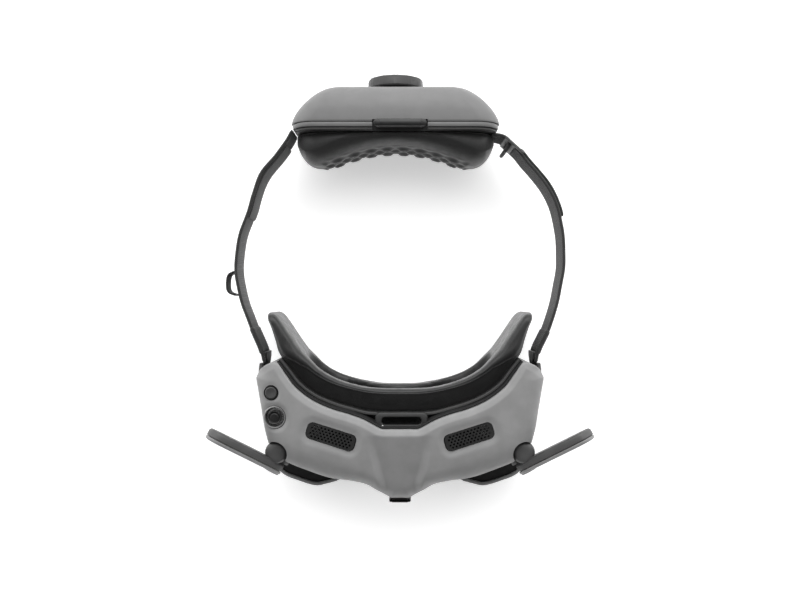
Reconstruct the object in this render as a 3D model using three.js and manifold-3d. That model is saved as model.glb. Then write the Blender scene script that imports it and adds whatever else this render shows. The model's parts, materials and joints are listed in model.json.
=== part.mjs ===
// Video goggles for drone pilots: an eye housing with two folding antennas, a soft face seal,
// and a headband whose rear end is a padded battery pack with a tightening dial.
// Millimetres, +Z up. The wearer's nose points along -Y and the back of the head along +Y.
// The goggles rest on z = 0, and the origin is under the middle of the whole object.

import * as THREE from 'three';
import { mergeVertices } from 'three/addons/utils/BufferGeometryUtils.js';
import Module from 'manifold-3d';

const wasm = await Module();
wasm.setup();

// ---------------------------------------------------------------- driving dimensions

const GAP = 0.3; // clearance between neighbouring pieces
const WALL = 2.2; // moulded wall of the housing

// Eye housing
const CROWN_Z = 74; // highest point of the roof
const RIM_Z = 58; // height of the roof's edge
const ROOF_FALL = 11; // how far the roof drops from the middle to the temples
const SHOULDER = 12; // width of the rounded shoulder round the roof
const SIDE_PART_Z = 34; // parting line of the two shells on the temples
const DOCK_TOP_Z = 56; // underside of the roof above the antenna docks
const LEDGE_Z = 17.5; // top of the tray below the docks
const NOSE_FRONT_Y = -121.8;
const WINDOW_FRONT_Y = -125.5;

// Optics
const EYE_X = 32; // half of the rest distance between the pupils
const EYE_Z = 34;
const BARREL_R = 15.5;
const CARRIAGE_HALF = 18;
const KNOB_Y = -90; // the knob under each eye turns its lens in and out
const BOARD_Y = -103;

// Antennas
const HINGE = new THREE.Vector3(-73, -103.6, 47); // middle of the left blade's pivot
const BLADE_YAW = THREE.MathUtils.degToRad(22);
const BLADE_LEAN = THREE.MathUtils.degToRad(10);
const BLADE_RISE = THREE.MathUtils.degToRad(40); // angle of the open blade above level
const BLADE_T = 6.5;
const PIN_R = 2;

// Controls on the left temple
const BUTTON = new THREE.Vector2(-72.3, -59.8);
const BUTTON_R = 3.9;
const STICK = new THREE.Vector2(-70.3, -73.5);
const COLLAR_R = 7;
const CAP_R = 4.7;

// Headband
const LUG_X = 78.8; // middle of the strap hinge on each temple
const LUG_Y = -48.3;
const LUG_Z = 35;
const STRAP_T = 2.6;
const STRAP_Z = [22.5, 47.5];

// Battery pack
const PACK_X = -2.6; // the dial's strap take-up leaves the pack a little off centre
const PACK_W = 121;
const PACK_H = 58;
const PACK_Y = { frame: 88.9, seam: 92.4, rear: 115.4 };
const FRAME_INSET = 2.2; // the mid frame stands inside the cover's edge
const LOOP_X = -PACK_X; // the rear strap loop sits on the object's own middle
const CELL_R = 9.1;
const CELL_L = 65;
const CELL_Z = [16, 42];
const DIAL_R = 16.5;
const DIAL_Y = [116, 125.5];
const POWER_X = 34; // power button on the rear cover
const POWER_R = 5;

// ---------------------------------------------------------------- materials

function paint(color, roughness, metalness = 0) {
  return new THREE.MeshStandardMaterial({ color, roughness, metalness });
}

const shellGrey = paint(0x8f9194, 0.5);
const darkPlastic = paint(0x35363a, 0.55);
const blackPlastic = paint(0x18191b, 0.35);
const antennaGrey = paint(0x5d5f63, 0.5);
const leather = paint(0x1f2023, 0.45);
const webbing = paint(0x38393c, 0.9);
const steel = paint(0xb8bbc0, 0.3, 1);
const glass = paint(0x101820, 0.05);
const boardGreen = paint(0x20503a, 0.6);
const cellBlue = paint(0x3d5f8f, 0.4);
const aluminium = paint(0xa8abaf, 0.4, 1);

// ---------------------------------------------------------------- solids

function solid(geometry) {
  const bare = new THREE.BufferGeometry();
  bare.setAttribute('position', geometry.getAttribute('position').clone());
  if (geometry.index) bare.setIndex(geometry.index.clone());
  const merged = mergeVertices(bare, 1e-4);
  return new wasm.Manifold(
    new wasm.Mesh({
      numProp: 3,
      vertProperties: new Float32Array(merged.getAttribute('position').array),
      triVerts: new Uint32Array(merged.index.array),
    }),
  );
}

function geometryOf(body) {
  const mesh = body.getMesh();
  const geometry = new THREE.BufferGeometry();
  geometry.setAttribute('position', new THREE.BufferAttribute(mesh.vertProperties, 3));
  geometry.setIndex(new THREE.BufferAttribute(mesh.triVerts, 1));
  geometry.computeVertexNormals();
  return geometry;
}

// One geometry left after the others are cut away from it.
function cut(base, ...tools) {
  const body = tools.reduce((rest, tool) => rest.subtract(solid(tool)), solid(base));
  return geometryOf(body);
}

function join(...pieces) {
  return geometryOf(pieces.map(solid).reduce((all, piece) => all.add(piece)));
}

// A closed geometry from vertices and triangles, turned so that its faces point out.
function closedGeometry(vertices, triangles) {
  let volume = 0;
  for (const [a, b, c] of triangles) {
    volume += vertices[a].dot(new THREE.Vector3().crossVectors(vertices[b], vertices[c]));
  }
  const order = volume > 0 ? triangles : triangles.map(([a, b, c]) => [a, c, b]);
  const geometry = new THREE.BufferGeometry().setFromPoints(vertices);
  geometry.setIndex(order.flat());
  geometry.computeVertexNormals();
  return geometry;
}

// Triangles that fill a flat or nearly flat ring of points.
function capTriangles(ring) {
  const normal = new THREE.Vector3();
  ring.forEach((p, i) => {
    const q = ring[(i + 1) % ring.length];
    normal.x += (p.y - q.y) * (p.z + q.z);
    normal.y += (p.z - q.z) * (p.x + q.x);
    normal.z += (p.x - q.x) * (p.y + q.y);
  });
  const turn = new THREE.Quaternion().setFromUnitVectors(
    normal.normalize(), new THREE.Vector3(0, 0, 1));
  const flat = ring.map((p) => {
    const q = p.clone().applyQuaternion(turn);
    return new THREE.Vector2(q.x, q.y);
  });
  return THREE.ShapeUtils.triangulateShape(flat, []);
}

// A solid through rings of equally many points, closed at both ends.
function loft(rings) {
  const n = rings[0].length;
  const last = (rings.length - 1) * n;
  const triangles = [];
  for (let k = 0; k + 1 < rings.length; k++) {
    for (let i = 0; i < n; i++) {
      const a = k * n + i;
      const b = k * n + ((i + 1) % n);
      triangles.push([a, b, b + n], [a, b + n, a + n]);
    }
  }
  for (const [a, b, c] of capTriangles(rings[0])) triangles.push([a, c, b]);
  for (const [a, b, c] of capTriangles(rings.at(-1))) {
    triangles.push([last + a, last + b, last + c]);
  }
  return closedGeometry(rings.flat(), triangles);
}

function prism(points, z0, z1) {
  const shape = new THREE.Shape(points);
  const geometry = new THREE.ExtrudeGeometry(shape, { depth: z1 - z0, bevelEnabled: false });
  return geometry.translate(0, 0, z0);
}

// A plan outline in (x, z) pushed along +Y from y0 to y1.
function yPrism(points, y0, y1) {
  return prism(points, -y1, -y0).rotateX(Math.PI / 2);
}

// An outline in (y, z) pushed along +X from x0 to x1.
function xPrism(points, x0, x1) {
  return prism(points, x0, x1).rotateY(Math.PI / 2).rotateX(Math.PI / 2);
}

function block([x0, x1], [y0, y1], [z0, z1]) {
  const box = new THREE.BoxGeometry(x1 - x0, y1 - y0, z1 - z0);
  return box.translate((x0 + x1) / 2, (y0 + y1) / 2, (z0 + z1) / 2);
}

function rod(radius, from, to, sides = 24) {
  const axis = new THREE.Vector3().subVectors(to, from);
  const geometry = new THREE.CylinderGeometry(radius, radius, axis.length(), sides);
  const turn = new THREE.Quaternion().setFromUnitVectors(
    new THREE.Vector3(0, 1, 0), axis.clone().normalize());
  geometry.applyQuaternion(turn);
  const middle = new THREE.Vector3().addVectors(from, to).multiplyScalar(0.5);
  return geometry.translate(middle.x, middle.y, middle.z);
}

function upright(radius, x, y, z0, z1, sides = 28) {
  return rod(radius, new THREE.Vector3(x, y, z0), new THREE.Vector3(x, y, z1), sides);
}

// A profile of [radius, height] pairs turned about +Z.
function turned(profile, sides = 28) {
  const points = profile.map(([r, z]) => new THREE.Vector2(r, z));
  return new THREE.LatheGeometry(points, sides).rotateX(Math.PI / 2);
}

function roundedRect(width, height, radius, steps = 5) {
  const points = [];
  for (let corner = 0; corner < 4; corner++) {
    const cx = (corner === 0 || corner === 3 ? 1 : -1) * (width / 2 - radius);
    const cy = (corner < 2 ? 1 : -1) * (height / 2 - radius);
    for (let i = 0; i <= steps; i++) {
      const angle = ((corner + i / steps) * Math.PI) / 2;
      points.push(new THREE.Vector2(cx + radius * Math.cos(angle), cy + radius * Math.sin(angle)));
    }
  }
  return points;
}

// A flat band of webbing on edge, along a smooth plan path.
function ribbon(path, thickness, [z0, z1], steps) {
  const points = path.map(([x, y]) => new THREE.Vector3(x, y, 0));
  const curve = new THREE.CatmullRomCurve3(points, false, 'centripetal');
  const rings = [];
  for (let i = 0; i <= steps; i++) {
    const p = curve.getPoint(i / steps);
    const along = curve.getTangent(i / steps);
    const side = new THREE.Vector3(-along.y, along.x, 0).multiplyScalar(thickness / 2);
    const a = p.clone().add(side);
    const b = p.clone().sub(side);
    rings.push([
      new THREE.Vector3(a.x, a.y, z0), new THREE.Vector3(b.x, b.y, z0),
      new THREE.Vector3(b.x, b.y, z1), new THREE.Vector3(a.x, a.y, z1),
    ]);
  }
  return loft(rings);
}

function mirrored(geometry) {
  const copy = geometry.clone().applyMatrix4(new THREE.Matrix4().makeScale(-1, 1, 1));
  if (!copy.index) {
    copy.setIndex([...Array(copy.getAttribute('position').count).keys()]);
  }
  const index = copy.index.array;
  for (let i = 0; i < index.length; i += 3) {
    const first = index[i];
    index[i] = index[i + 2];
    index[i + 2] = first;
  }
  copy.computeVertexNormals();
  return copy;
}

// ---------------------------------------------------------------- assembly

const goggles = new THREE.Group();

function add(name, geometry, material) {
  const mesh = new THREE.Mesh(geometry, material);
  mesh.name = name;
  goggles.add(mesh);
}

// A piece built on the left, and its mirror image on the right.
function addPair(name, geometry, material) {
  add(`left_${name}`, geometry, material);
  add(`right_${name}`, mirrored(geometry), material);
}

// ---------------------------------------------------------------- housing outline

// Columns across the housing from the middle to the right temple: [front x, y, rear x, y].
const HALF_ROOF = [
  [0, NOSE_FRONT_Y, 0, -82.5],
  [7.8, NOSE_FRONT_Y, 6, -82.5],
  [9.6, -117.6, 9.5, -82.5],
  [13.4, -112.6, 13, -82.2],
  [18.5, -110.6, 18, -80.6],
  [28, -109.8, 26.5, -77.3],
  [40, -108.4, 36, -73],
  [52.2, -104.5, 49.7, -65.6],
  [64.7, -99.6, 60.5, -56.5],
  [72, -95, 65.5, -50],
  [76.3, -84, 69.7, -43.3],
  [79.2, -68, 75.5, -45.4],
  [82, -52, 80, -48.6],
];

// The bottom tray: the same temples, a longer front edge, and room for the nose behind.
const HALF_TRAY = [
  [0, -118.6, 0, -98],
  [7.8, -118.6, 8, -98],
  [12, -118.4, 14, -98],
  [18, -118.2, 21, -98],
  [27, -118.5, 27, -85],
  [41, -119.6, 34, -74],
  [49, -120, 42, -70.4],
  [57, -118.8, 49.7, -65.6],
  [66, -115.6, 60.5, -56.5],
  [75, -110, 65.5, -50],
  [79, -98, 69.7, -43.3],
  [79.6, -72, 75.5, -45.4],
  [82, -52, 80, -48.6],
];

const ROWS = [0, 0.03, 0.09, 0.2, 0.5, 0.8, 0.91, 0.97, 1];

function wholeColumns(half) {
  const right = half.map(([fx, fy, rx, ry]) => {
    return [new THREE.Vector2(fx, fy), new THREE.Vector2(rx, ry)];
  });
  const left = right.slice(1).map((ends) => ends.map((p) => new THREE.Vector2(-p.x, p.y)));
  return [...left.reverse(), ...right];
}

function outlineOf(columns) {
  return [...columns.map(([front]) => front), ...columns.map(([, rear]) => rear).reverse()];
}

// The outline moved inwards by a distance, corner by corner.
function insetOutline(outline, distance) {
  return outline.map((p, i) => {
    const before = outline.at(i - 1);
    const after = outline[(i + 1) % outline.length];
    const a = p.clone().sub(before).normalize();
    const b = after.clone().sub(p).normalize();
    const normal = new THREE.Vector2(-a.y - b.y, a.x + b.x).normalize();
    const slant = Math.max(0.5, -a.y * normal.x + a.x * normal.y);
    return p.clone().addScaledVector(normal, distance / slant);
  });
}

function insetColumns(columns, distance) {
  const moved = insetOutline(outlineOf(columns), distance);
  return columns.map((_, i) => [moved[i], moved[moved.length - 1 - i]]);
}

function distanceToOutline(x, y, outline) {
  let least = Infinity;
  outline.forEach((p, i) => {
    const q = outline[(i + 1) % outline.length];
    const t = ((x - p.x) * (q.x - p.x) + (y - p.y) * (q.y - p.y)) / p.distanceToSquared(q);
    const s = Math.min(1, Math.max(0, t));
    least = Math.min(least, Math.hypot(x - p.x - s * (q.x - p.x), y - p.y - s * (q.y - p.y)));
  });
  return least;
}

// 0 at an edge, rising to 1 over the shoulder's width.
function shoulder(distance, width) {
  const t = Math.min(1, distance / width);
  return (1 - (1 - t) ** 2.2) ** (1 / 2.2);
}

// A solid over a plan given as columns: upper and lower give its height at each point.
function pillow(columns, upper, lower) {
  const outline = outlineOf(columns);
  const vertices = [];
  const triangles = [];
  const count = columns.length;
  const rows = ROWS.length;
  for (const height of [upper, lower]) {
    for (const [front, rear] of columns) {
      for (const v of ROWS) {
        const x = front.x + (rear.x - front.x) * v;
        const y = front.y + (rear.y - front.y) * v;
        vertices.push(new THREE.Vector3(x, y, height(x, y, distanceToOutline(x, y, outline))));
      }
    }
  }
  const at = (layer, i, j) => (layer * count + i) * rows + j;
  for (let i = 0; i + 1 < count; i++) {
    for (let j = 0; j + 1 < rows; j++) {
      for (const [layer, flip] of [[0, false], [1, true]]) {
        const a = at(layer, i, j);
        const b = at(layer, i + 1, j);
        const c = at(layer, i + 1, j + 1);
        const d = at(layer, i, j + 1);
        triangles.push(flip ? [a, c, b] : [a, b, c], flip ? [a, d, c] : [a, c, d]);
      }
    }
  }
  const edge = [];
  for (let i = 0; i < count; i++) edge.push([i, 0]);
  for (let j = 1; j < rows; j++) edge.push([count - 1, j]);
  for (let i = count - 2; i >= 0; i--) edge.push([i, rows - 1]);
  for (let j = rows - 2; j > 0; j--) edge.push([0, j]);
  edge.forEach(([i, j], k) => {
    const [m, n] = edge[(k + 1) % edge.length];
    const top = at(0, i, j);
    const below = at(1, m, n);
    triangles.push([top, at(1, i, j), below], [top, below, at(0, m, n)]);
  });
  return closedGeometry(vertices, triangles);
}

const roofColumns = wholeColumns(HALF_ROOF);
const trayColumns = wholeColumns(HALF_TRAY);

// The roof before its shoulder is rounded: high in the middle, falling to temples and nose.
function roofBase(x, y) {
  const forward = Math.max(0, -y - 88);
  return CROWN_Z - ROOF_FALL * (Math.abs(x) / 80) ** 1.6 - 0.006 * forward * forward;
}

function roofHeight(x, y, distance) {
  const rim = RIM_Z - 3 * (x / 80) ** 2;
  return rim + (roofBase(x, y) - rim) * shoulder(distance, SHOULDER);
}

const roofOutline = outlineOf(roofColumns);

function roofAt(x, y) {
  return roofHeight(x, y, distanceToOutline(x, y, roofOutline));
}

// ---------------------------------------------------------------- housing shells

const hinges = antennaFrame();

function antennaFrame() {
  const forward = new THREE.Vector3(
    -Math.sin(BLADE_YAW) * Math.cos(BLADE_LEAN),
    -Math.cos(BLADE_YAW) * Math.cos(BLADE_LEAN),
    Math.sin(BLADE_LEAN),
  );
  const outward = new THREE.Vector3(-Math.cos(BLADE_YAW), Math.sin(BLADE_YAW), 0);
  const up = new THREE.Vector3().crossVectors(outward, forward);
  if (up.z < 0) up.negate();
  const along = outward.clone().multiplyScalar(Math.cos(BLADE_RISE));
  along.addScaledVector(up, Math.sin(BLADE_RISE));
  return { forward, along, across: new THREE.Vector3().crossVectors(forward, along) };
}

// A point on the left antenna's pivot axis, a distance in front of the blade's middle.
function onPivot(distance) {
  return HINGE.clone().addScaledVector(hinges.forward, distance);
}

function pivotRod(radius, from, to, sides = 24) {
  return rod(radius, onPivot(from), onPivot(to), sides);
}

const knuckleHole = pivotRod(7.3, -16, 4);
const knuckleHoles = join(knuckleHole, mirrored(knuckleHole));

// The plan region in front of the housing's recessed face, on the right side.
function dockRegion() {
  return [
    [15, -150], [15, -107.6], [18.5, -107.4], [28, -106.8], [40, -105.4], [52.2, -101.5],
    [64.7, -96.6], [72.6, -91.6], [76.5, -98], [110, -98], [110, -150],
  ].map(([x, y]) => new THREE.Vector2(x, y));
}

function bothDocks(z0, z1) {
  const right = prism(dockRegion(), z0, z1);
  return join(right, mirrored(right));
}

// Cuts for the strap hinges, one on each temple.
function lugNotches() {
  const right = block([LUG_X - 4.6, LUG_X + 8], [LUG_Y - 8, 0], [LUG_Z - 14, 90]);
  return join(right, mirrored(right));
}

function ventOutline(length, width) {
  return roundedRect(length, width, width * 0.42, 4);
}

const VENT = { x: 38.4, y: -83.6, length: 28, width: 9.2, turn: THREE.MathUtils.degToRad(16.5) };

function placeVent(geometry) {
  return geometry.rotateZ(VENT.turn).translate(VENT.x, VENT.y, 0);
}

function topShell() {
  const outer = pillow(roofColumns, roofHeight, () => LEDGE_Z + GAP);
  const inner = pillow(
    insetColumns(roofColumns, WALL),
    (x, y) => roofAt(x, y) - WALL,
    () => LEDGE_Z - 5,
  );
  const vent = placeVent(prism(ventOutline(VENT.length + 2 * GAP, VENT.width + 2 * GAP), 40, 90));
  return cut(
    outer, inner, bothDocks(0, DOCK_TOP_Z), lugNotches(), vent, mirrored(vent), knuckleHoles,
    block([-90, 90], [-106, -30], [0, SIDE_PART_Z]),
    block([-58, 58], [-90, -30], [0, 56]),
    upright(BUTTON_R + GAP, BUTTON.x, BUTTON.y, 50, 80),
    upright(COLLAR_R + GAP, STICK.x, STICK.y, 50, 80),
  );
}

function bottomShell() {
  const tray = pillow(trayColumns, () => LEDGE_Z, (x, y, d) => 8 * (1 - shoulder(d, 9)));
  const cheeks = cut(
    pillow(roofColumns, () => SIDE_PART_Z - GAP, () => LEDGE_Z - 8),
    block([-62, 62], [-150, 0], [0, 60]),
    bothDocks(0, 60),
  );
  const lipRing = cut(
    prism(outlineOf(trayColumns), LEDGE_Z - 1, LEDGE_Z + 3),
    prism(insetOutline(outlineOf(trayColumns), 1.4), LEDGE_Z - 3, LEDGE_Z + 5),
    block([-24, 24], [-130, -40], [0, 40]),
    block([-60, 60], [-108, -40], [0, 40]),
    block([-90, 90], [-90, -40], [0, 40]),
  );
  const trayRoom = pillow(
    insetColumns(trayColumns, WALL),
    () => LEDGE_Z - WALL,
    (x, y, d) => WALL + 6 * (1 - shoulder(d, 8)),
  );
  const cheekRoom = cut(
    pillow(insetColumns(roofColumns, WALL), () => LEDGE_Z + 30, () => LEDGE_Z - 2 * WALL),
    block([-90, 90], [-140, -113], [0, 90]),
  );
  const knobSlot = prism(roundedRect(23, 14, 6.9), -5, 15).translate(EYE_X, KNOB_Y, 0);
  const port = block([70, 90], [-73.4, -62.6], [22.4, 28.6]);
  const eyeRoom = block([-40, 40], [-98.4, -70], [14.8, 40]);
  return cut(
    join(tray, cheeks, lipRing),
    trayRoom, cheekRoom, eyeRoom, lugNotches(), knobSlot, mirrored(knobSlot), port, knuckleHoles,
  );
}

// A dark panel on each side of the nose, with a foot that covers the tray's ledge.
function dockPanel() {
  const rings = HALF_ROOF.filter(([x]) => x > 15 && x < 73).map(([x, y]) => {
    const tray = trayFront(x) + 1.8;
    return [
      [y + 1, DOCK_TOP_Z - GAP], [y - 4.6, LEDGE_Z + 2], [tray, LEDGE_Z + 1.6],
      [tray, LEDGE_Z + GAP], [y - 2, LEDGE_Z + GAP], [y + 2.6, DOCK_TOP_Z - GAP],
    ].map(([py, pz]) => new THREE.Vector3(x, py, pz));
  });
  return cut(mirrored(loft(rings)), knuckleHole);
}

// Front edge of the tray at a distance from the middle.
function trayFront(x) {
  const i = HALF_TRAY.findIndex(([fx]) => fx >= x);
  const [x0, y0] = HALF_TRAY[i - 1];
  const [x1, y1] = HALF_TRAY[i];
  return y0 + ((y1 - y0) * (x - x0)) / (x1 - x0);
}

function noseWindow() {
  const back = NOSE_FRONT_Y - GAP;
  const outline = [[-6.2, back], [-5, WINDOW_FRONT_Y], [5, WINDOW_FRONT_Y], [6.2, back]];
  return prism(outline.map(([x, y]) => new THREE.Vector2(x, y)), 24, RIM_Z - 4);
}

function ventMesh() {
  const plate = prism(ventOutline(VENT.length, VENT.width), -0.6, 0.6);
  const slots = [];
  for (let i = -3; i <= 3; i++) {
    slots.push(block([i * 3.4 - 0.9, i * 3.4 + 0.9], [-3, 3], [-2, 2]));
  }
  const tilt = Math.atan2(roofAt(VENT.x - 8, VENT.y) - roofAt(VENT.x + 8, VENT.y), 16);
  const mesh = cut(plate, ...slots).rotateY(tilt);
  return mirrored(placeVent(mesh).translate(0, 0, roofAt(VENT.x, VENT.y) - 2.2));
}

add('top_shell', topShell(), shellGrey);
add('bottom_shell', bottomShell(), shellGrey);
addPair('dock_panel', dockPanel(), darkPlastic);
add('nose_window', noseWindow(), blackPlastic);
addPair('vent_mesh', ventMesh(), blackPlastic);

// ---------------------------------------------------------------- strap loop and controls

function frontStrapLoop() {
  const plate = prism(roundedRect(29.6, 11.6, 2.4, 3), 60.4, 64.4);
  const slot = prism(roundedRect(22.6, 4.8, 1.4, 3), 50, 70);
  return cut(plate, slot).translate(0.8, -76.6, 0);
}

function backButton() {
  const top = roofAt(BUTTON.x, BUTTON.y) + 1;
  const profile = [
    [0, top - 6], [BUTTON_R, top - 6], [BUTTON_R, top - 0.8], [BUTTON_R - 0.9, top], [0, top - 0.3],
  ];
  return turned(profile).translate(BUTTON.x, BUTTON.y, 0);
}

const stickTop = roofAt(STICK.x, STICK.y) + 1.6;

function stickPart(profile, sides = 20) {
  return turned(profile.map(([r, z]) => [r, stickTop + z]), sides).translate(STICK.x, STICK.y, 0);
}

add('joystick_collar', stickPart([
  [5.4, -7], [COLLAR_R, -7], [COLLAR_R, -1.2], [6.4, -0.3], [5.9, -0.3], [5.4, -1.4], [5.4, -7],
]), antennaGrey);
add('joystick_gimbal', stickPart([
  [3, -7.4], [4.8, -7.4], [4.8, -6.2], [3, -6.2], [3, -7.4],
]), steel);
add('joystick_stem', stickPart([
  [0, -9], [2.2, -9], [2.2, -5], [1.2, -5], [1.2, -2.6], [0, -2.6],
], 16), steel);
add('joystick_cap', stickPart([
  [0, -2.2], [1.5, -2.2], [1.5, -4.4], [2.6, -4.4], [2.6, -2.6], [CAP_R - 0.6, -2.6],
  [CAP_R - 0.3, -1], [CAP_R - 0.8, 0], [0, -0.5],
]), blackPlastic);
add('back_button', backButton(), blackPlastic);

// ---------------------------------------------------------------- face side

// Face cushion in plan from the middle to the right tip: front edge, then face side.
const CUSHION_FRONT = [
  [0, -73.2], [14, -72.9], [28.2, -70.9], [44.8, -62.7], [59.8, -49.6], [71.6, -35], [75, -20],
];
const CUSHION_FACE = [
  [72, -14.6], [67.5, -19.5], [56.9, -36.5], [46.6, -46.8], [33.3, -53.9], [19.5, -57.4], [0, -58.5],
];

// Mounting frame in plan: front edge, then the side against the cushion.
const FRAME_FRONT = [
  [0, -82.1], [13, -81.8], [26.4, -76.9], [35.8, -72.6],
  [49.4, -65.3], [60.2, -56.1], [65.2, -49.6], [69, -43.5],
];
const FRAME_BACK = [[71.4, -39.5], [60.2, -49.9], [45.2, -63.1], [28.4, -71.4], [14, -73.4], [0, -73.7]];

function bothSides(half) {
  const left = half.map(([x, y]) => [-x, y]).reverse();
  return [...left, ...half.filter(([x]) => x !== 0)];
}

function bandOutline(front, back) {
  const points = [...bothSides(front), ...bothSides([...back].reverse()).reverse()];
  return points.map(([x, y]) => new THREE.Vector2(x, y));
}

// The opening in front of each eye, as an outline in (x, z), grown by a margin.
function eyeOpening(margin) {
  const points = [[9, 52], [55, 52], [55, 20], [49, 14], [24, 14], [9, 30]];
  const centre = new THREE.Vector2(EYE_X, EYE_Z);
  return points.map(([x, z]) => {
    const p = new THREE.Vector2(x, z);
    return p.addScaledVector(p.clone().sub(centre).normalize(), margin);
  });
}

const ARCH_Z = -2;
const ARCH_R = 18;

function noseArch(radius, y0, y1) {
  return rod(radius, new THREE.Vector3(0, y0, ARCH_Z), new THREE.Vector3(0, y1, ARCH_Z), 40);
}

function faceBand(outline, z0, z1, margin, archMargin) {
  const eye = yPrism(eyeOpening(margin), -100, -20);
  return cut(prism(outline, z0, z1), eye, mirrored(eye), noseArch(ARCH_R + archMargin, -120, 0));
}

function faceSealFrame() {
  const vault = cut(
    noseArch(ARCH_R + 1.7, -97.4, -75),
    noseArch(ARCH_R, -120, 0),
    block([-40, 40], [-120, 0], [-40, 2.5]),
  );
  return join(faceBand(bandOutline(FRAME_FRONT, FRAME_BACK), 2.5, 57.6, 1, 0), vault);
}

add('face_seal_frame', faceSealFrame(), darkPlastic);
add('face_cushion', faceBand(bandOutline(CUSHION_FRONT, CUSHION_FACE), 3, 58, 0, 0), leather);

// ---------------------------------------------------------------- optics

function opticsFrame() {
  const plate = block([-58, 58], [-86.9, -85.2], [18.5, 55]);
  const travel = yPrism(roundedRect(2 * BARREL_R + 9.4, 2 * BARREL_R + 1.4, BARREL_R), -90, -80);
  const right = travel.translate(EYE_X, 0, EYE_Z);
  return cut(plate, right, mirrored(right), noseArch(ARCH_R + 2, -90, -80));
}

function eyeTube(outer, inner, y0, y1) {
  const a = new THREE.Vector3(-EYE_X, y0, EYE_Z);
  const b = new THREE.Vector3(-EYE_X, y1, EYE_Z);
  const over = new THREE.Vector3(0, 2, 0);
  return cut(rod(outer, a, b, 30), rod(inner, a.clone().sub(over), b.clone().add(over), 30));
}

function eyeCarriage() {
  const box = block(
    [-EYE_X - CARRIAGE_HALF, -EYE_X + CARRIAGE_HALF],
    [-96, -87.3],
    [EYE_Z - CARRIAGE_HALF, EYE_Z + CARRIAGE_HALF],
  );
  const front = new THREE.Vector3(-EYE_X, -100, EYE_Z);
  const rear = new THREE.Vector3(-EYE_X, -80, EYE_Z);
  return cut(box, rod(BARREL_R + GAP, front, rear, 30));
}

function displayPanel() {
  return block([-EYE_X - 15, -EYE_X + 15], [-97.9, -96.3], [EYE_Z - 12, EYE_Z + 12]);
}

function eyeLens() {
  const profile = [[0, -1.2], [8, -0.9], [13.6, 0.4], [13.6, 2.2], [8, 3.1], [0, 3.5]];
  return turned(profile, 24).rotateX(-Math.PI / 2).translate(-EYE_X, -84.6, EYE_Z);
}

function diopterKnob() {
  const teeth = 18;
  const knob = new THREE.Shape();
  for (let i = 0; i < 2 * teeth; i++) {
    const angle = (i * Math.PI) / teeth;
    const r = i % 2 ? 6.5 : 6;
    const move = i ? 'lineTo' : 'moveTo';
    knob[move](r * Math.cos(angle), r * Math.sin(angle));
  }
  const disc = new THREE.ExtrudeGeometry(knob, { depth: 4.4, bevelEnabled: false });
  return join(disc, upright(2, 0, 0, 4, 15, 16)).translate(-EYE_X, KNOB_Y, 0.6);
}

add('optics_frame', opticsFrame(), blackPlastic);
addPair('eye_carriage', eyeCarriage(), darkPlastic);
addPair('display_panel', displayPanel(), glass);
addPair('lens_barrel', eyeTube(BARREL_R, 14, -93, -79.6), blackPlastic);
addPair('eye_lens', eyeLens(), glass);
addPair('diopter_knob', diopterKnob(), darkPlastic);

// ---------------------------------------------------------------- electronics and cooling

function heatSink() {
  const base = block([-10.5, 10.5], [BOARD_Y - 1.5, BOARD_Y - GAP], [24, 50]);
  const fins = [-2, -1, 0, 1, 2].map((i) => {
    return block([4.8 * i - 0.6, 4.8 * i + 0.6], [-109, BOARD_Y - 1], [24, 50]);
  });
  return join(base, ...fins);
}

const FAN = { y: -97, r: 11.6, z0: 56.6, z1: 65.6 };

function fanRotor() {
  const floor = FAN.z0 + 1.8;
  const parts = [
    upright(9.4, 0, FAN.y, floor, floor + 0.8, 36),
    upright(3.6, 0, FAN.y, floor, FAN.z1 - 0.6, 24),
  ];
  for (let i = 0; i < 11; i++) {
    const blade = block([5, 9.2], [-0.4, 0.4], [floor + 0.4, FAN.z1 - 0.8]);
    parts.push(blade.rotateZ((i * 2 * Math.PI) / 11).translate(0, FAN.y, 0));
  }
  return join(...parts);
}

function fanHousing() {
  const { r, z0, z1 } = FAN;
  const profile = [[0, z0], [r, z0], [r, z1], [r - 1.2, z1], [r - 1.2, z0 + 1.2], [0, z0 + 1.2]];
  return turned(profile, 36).translate(0, FAN.y, 0);
}

function dataPort() {
  const body = roundedRect(9, 3.6, 1.7, 4);
  const mouth = roundedRect(8, 2.6, 1.2, 4);
  return cut(xPrism(body, 71.5, 79), xPrism(mouth, 73, 81)).translate(0, -68, 25.5);
}

add('mainboard', block([-34, 34], [BOARD_Y, BOARD_Y + 1.6], [22, 54]), boardGreen);
add('heat_sink', heatSink(), aluminium);
add('fan_housing', fanHousing(), blackPlastic);
add('fan_rotor', fanRotor(), darkPlastic);
add('data_port', dataPort(), steel);

// ---------------------------------------------------------------- antennas

// Blade outline in its own plane: along the blade, then across it. The pivot is at 0, 0.
const BLADE = [
  [-8.5, 0], [-6, 6.4], [2, 9.4], [15, 10], [30, 8.8], [41, 7.4], [46, 4.6],
  [47.4, -0.6], [45.8, -5.8], [41, -8.2], [28, -9], [12, -9.6], [0, -9.2], [-6.2, -6],
];

function bladeHalf(from, to) {
  const corners = BLADE.map(([x, y]) => new THREE.Vector3(x, y, 0));
  const loop = new THREE.CatmullRomCurve3(corners, true, 'centripetal').getPoints(30);
  loop.pop();
  const half = prism(loop.map((p) => new THREE.Vector2(p.x, p.y)), from, to);
  const place = new THREE.Matrix4().makeBasis(hinges.along, hinges.across, hinges.forward);
  return half.applyMatrix4(place.setPosition(HINGE));
}

function antennaKnuckle() {
  return cut(pivotRod(7, -14, -BLADE_T / 2 - GAP), pivotRod(PIN_R + GAP, -12.3, 4));
}

const pinHole = pivotRod(PIN_R + GAP, -8, 2.2);

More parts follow.
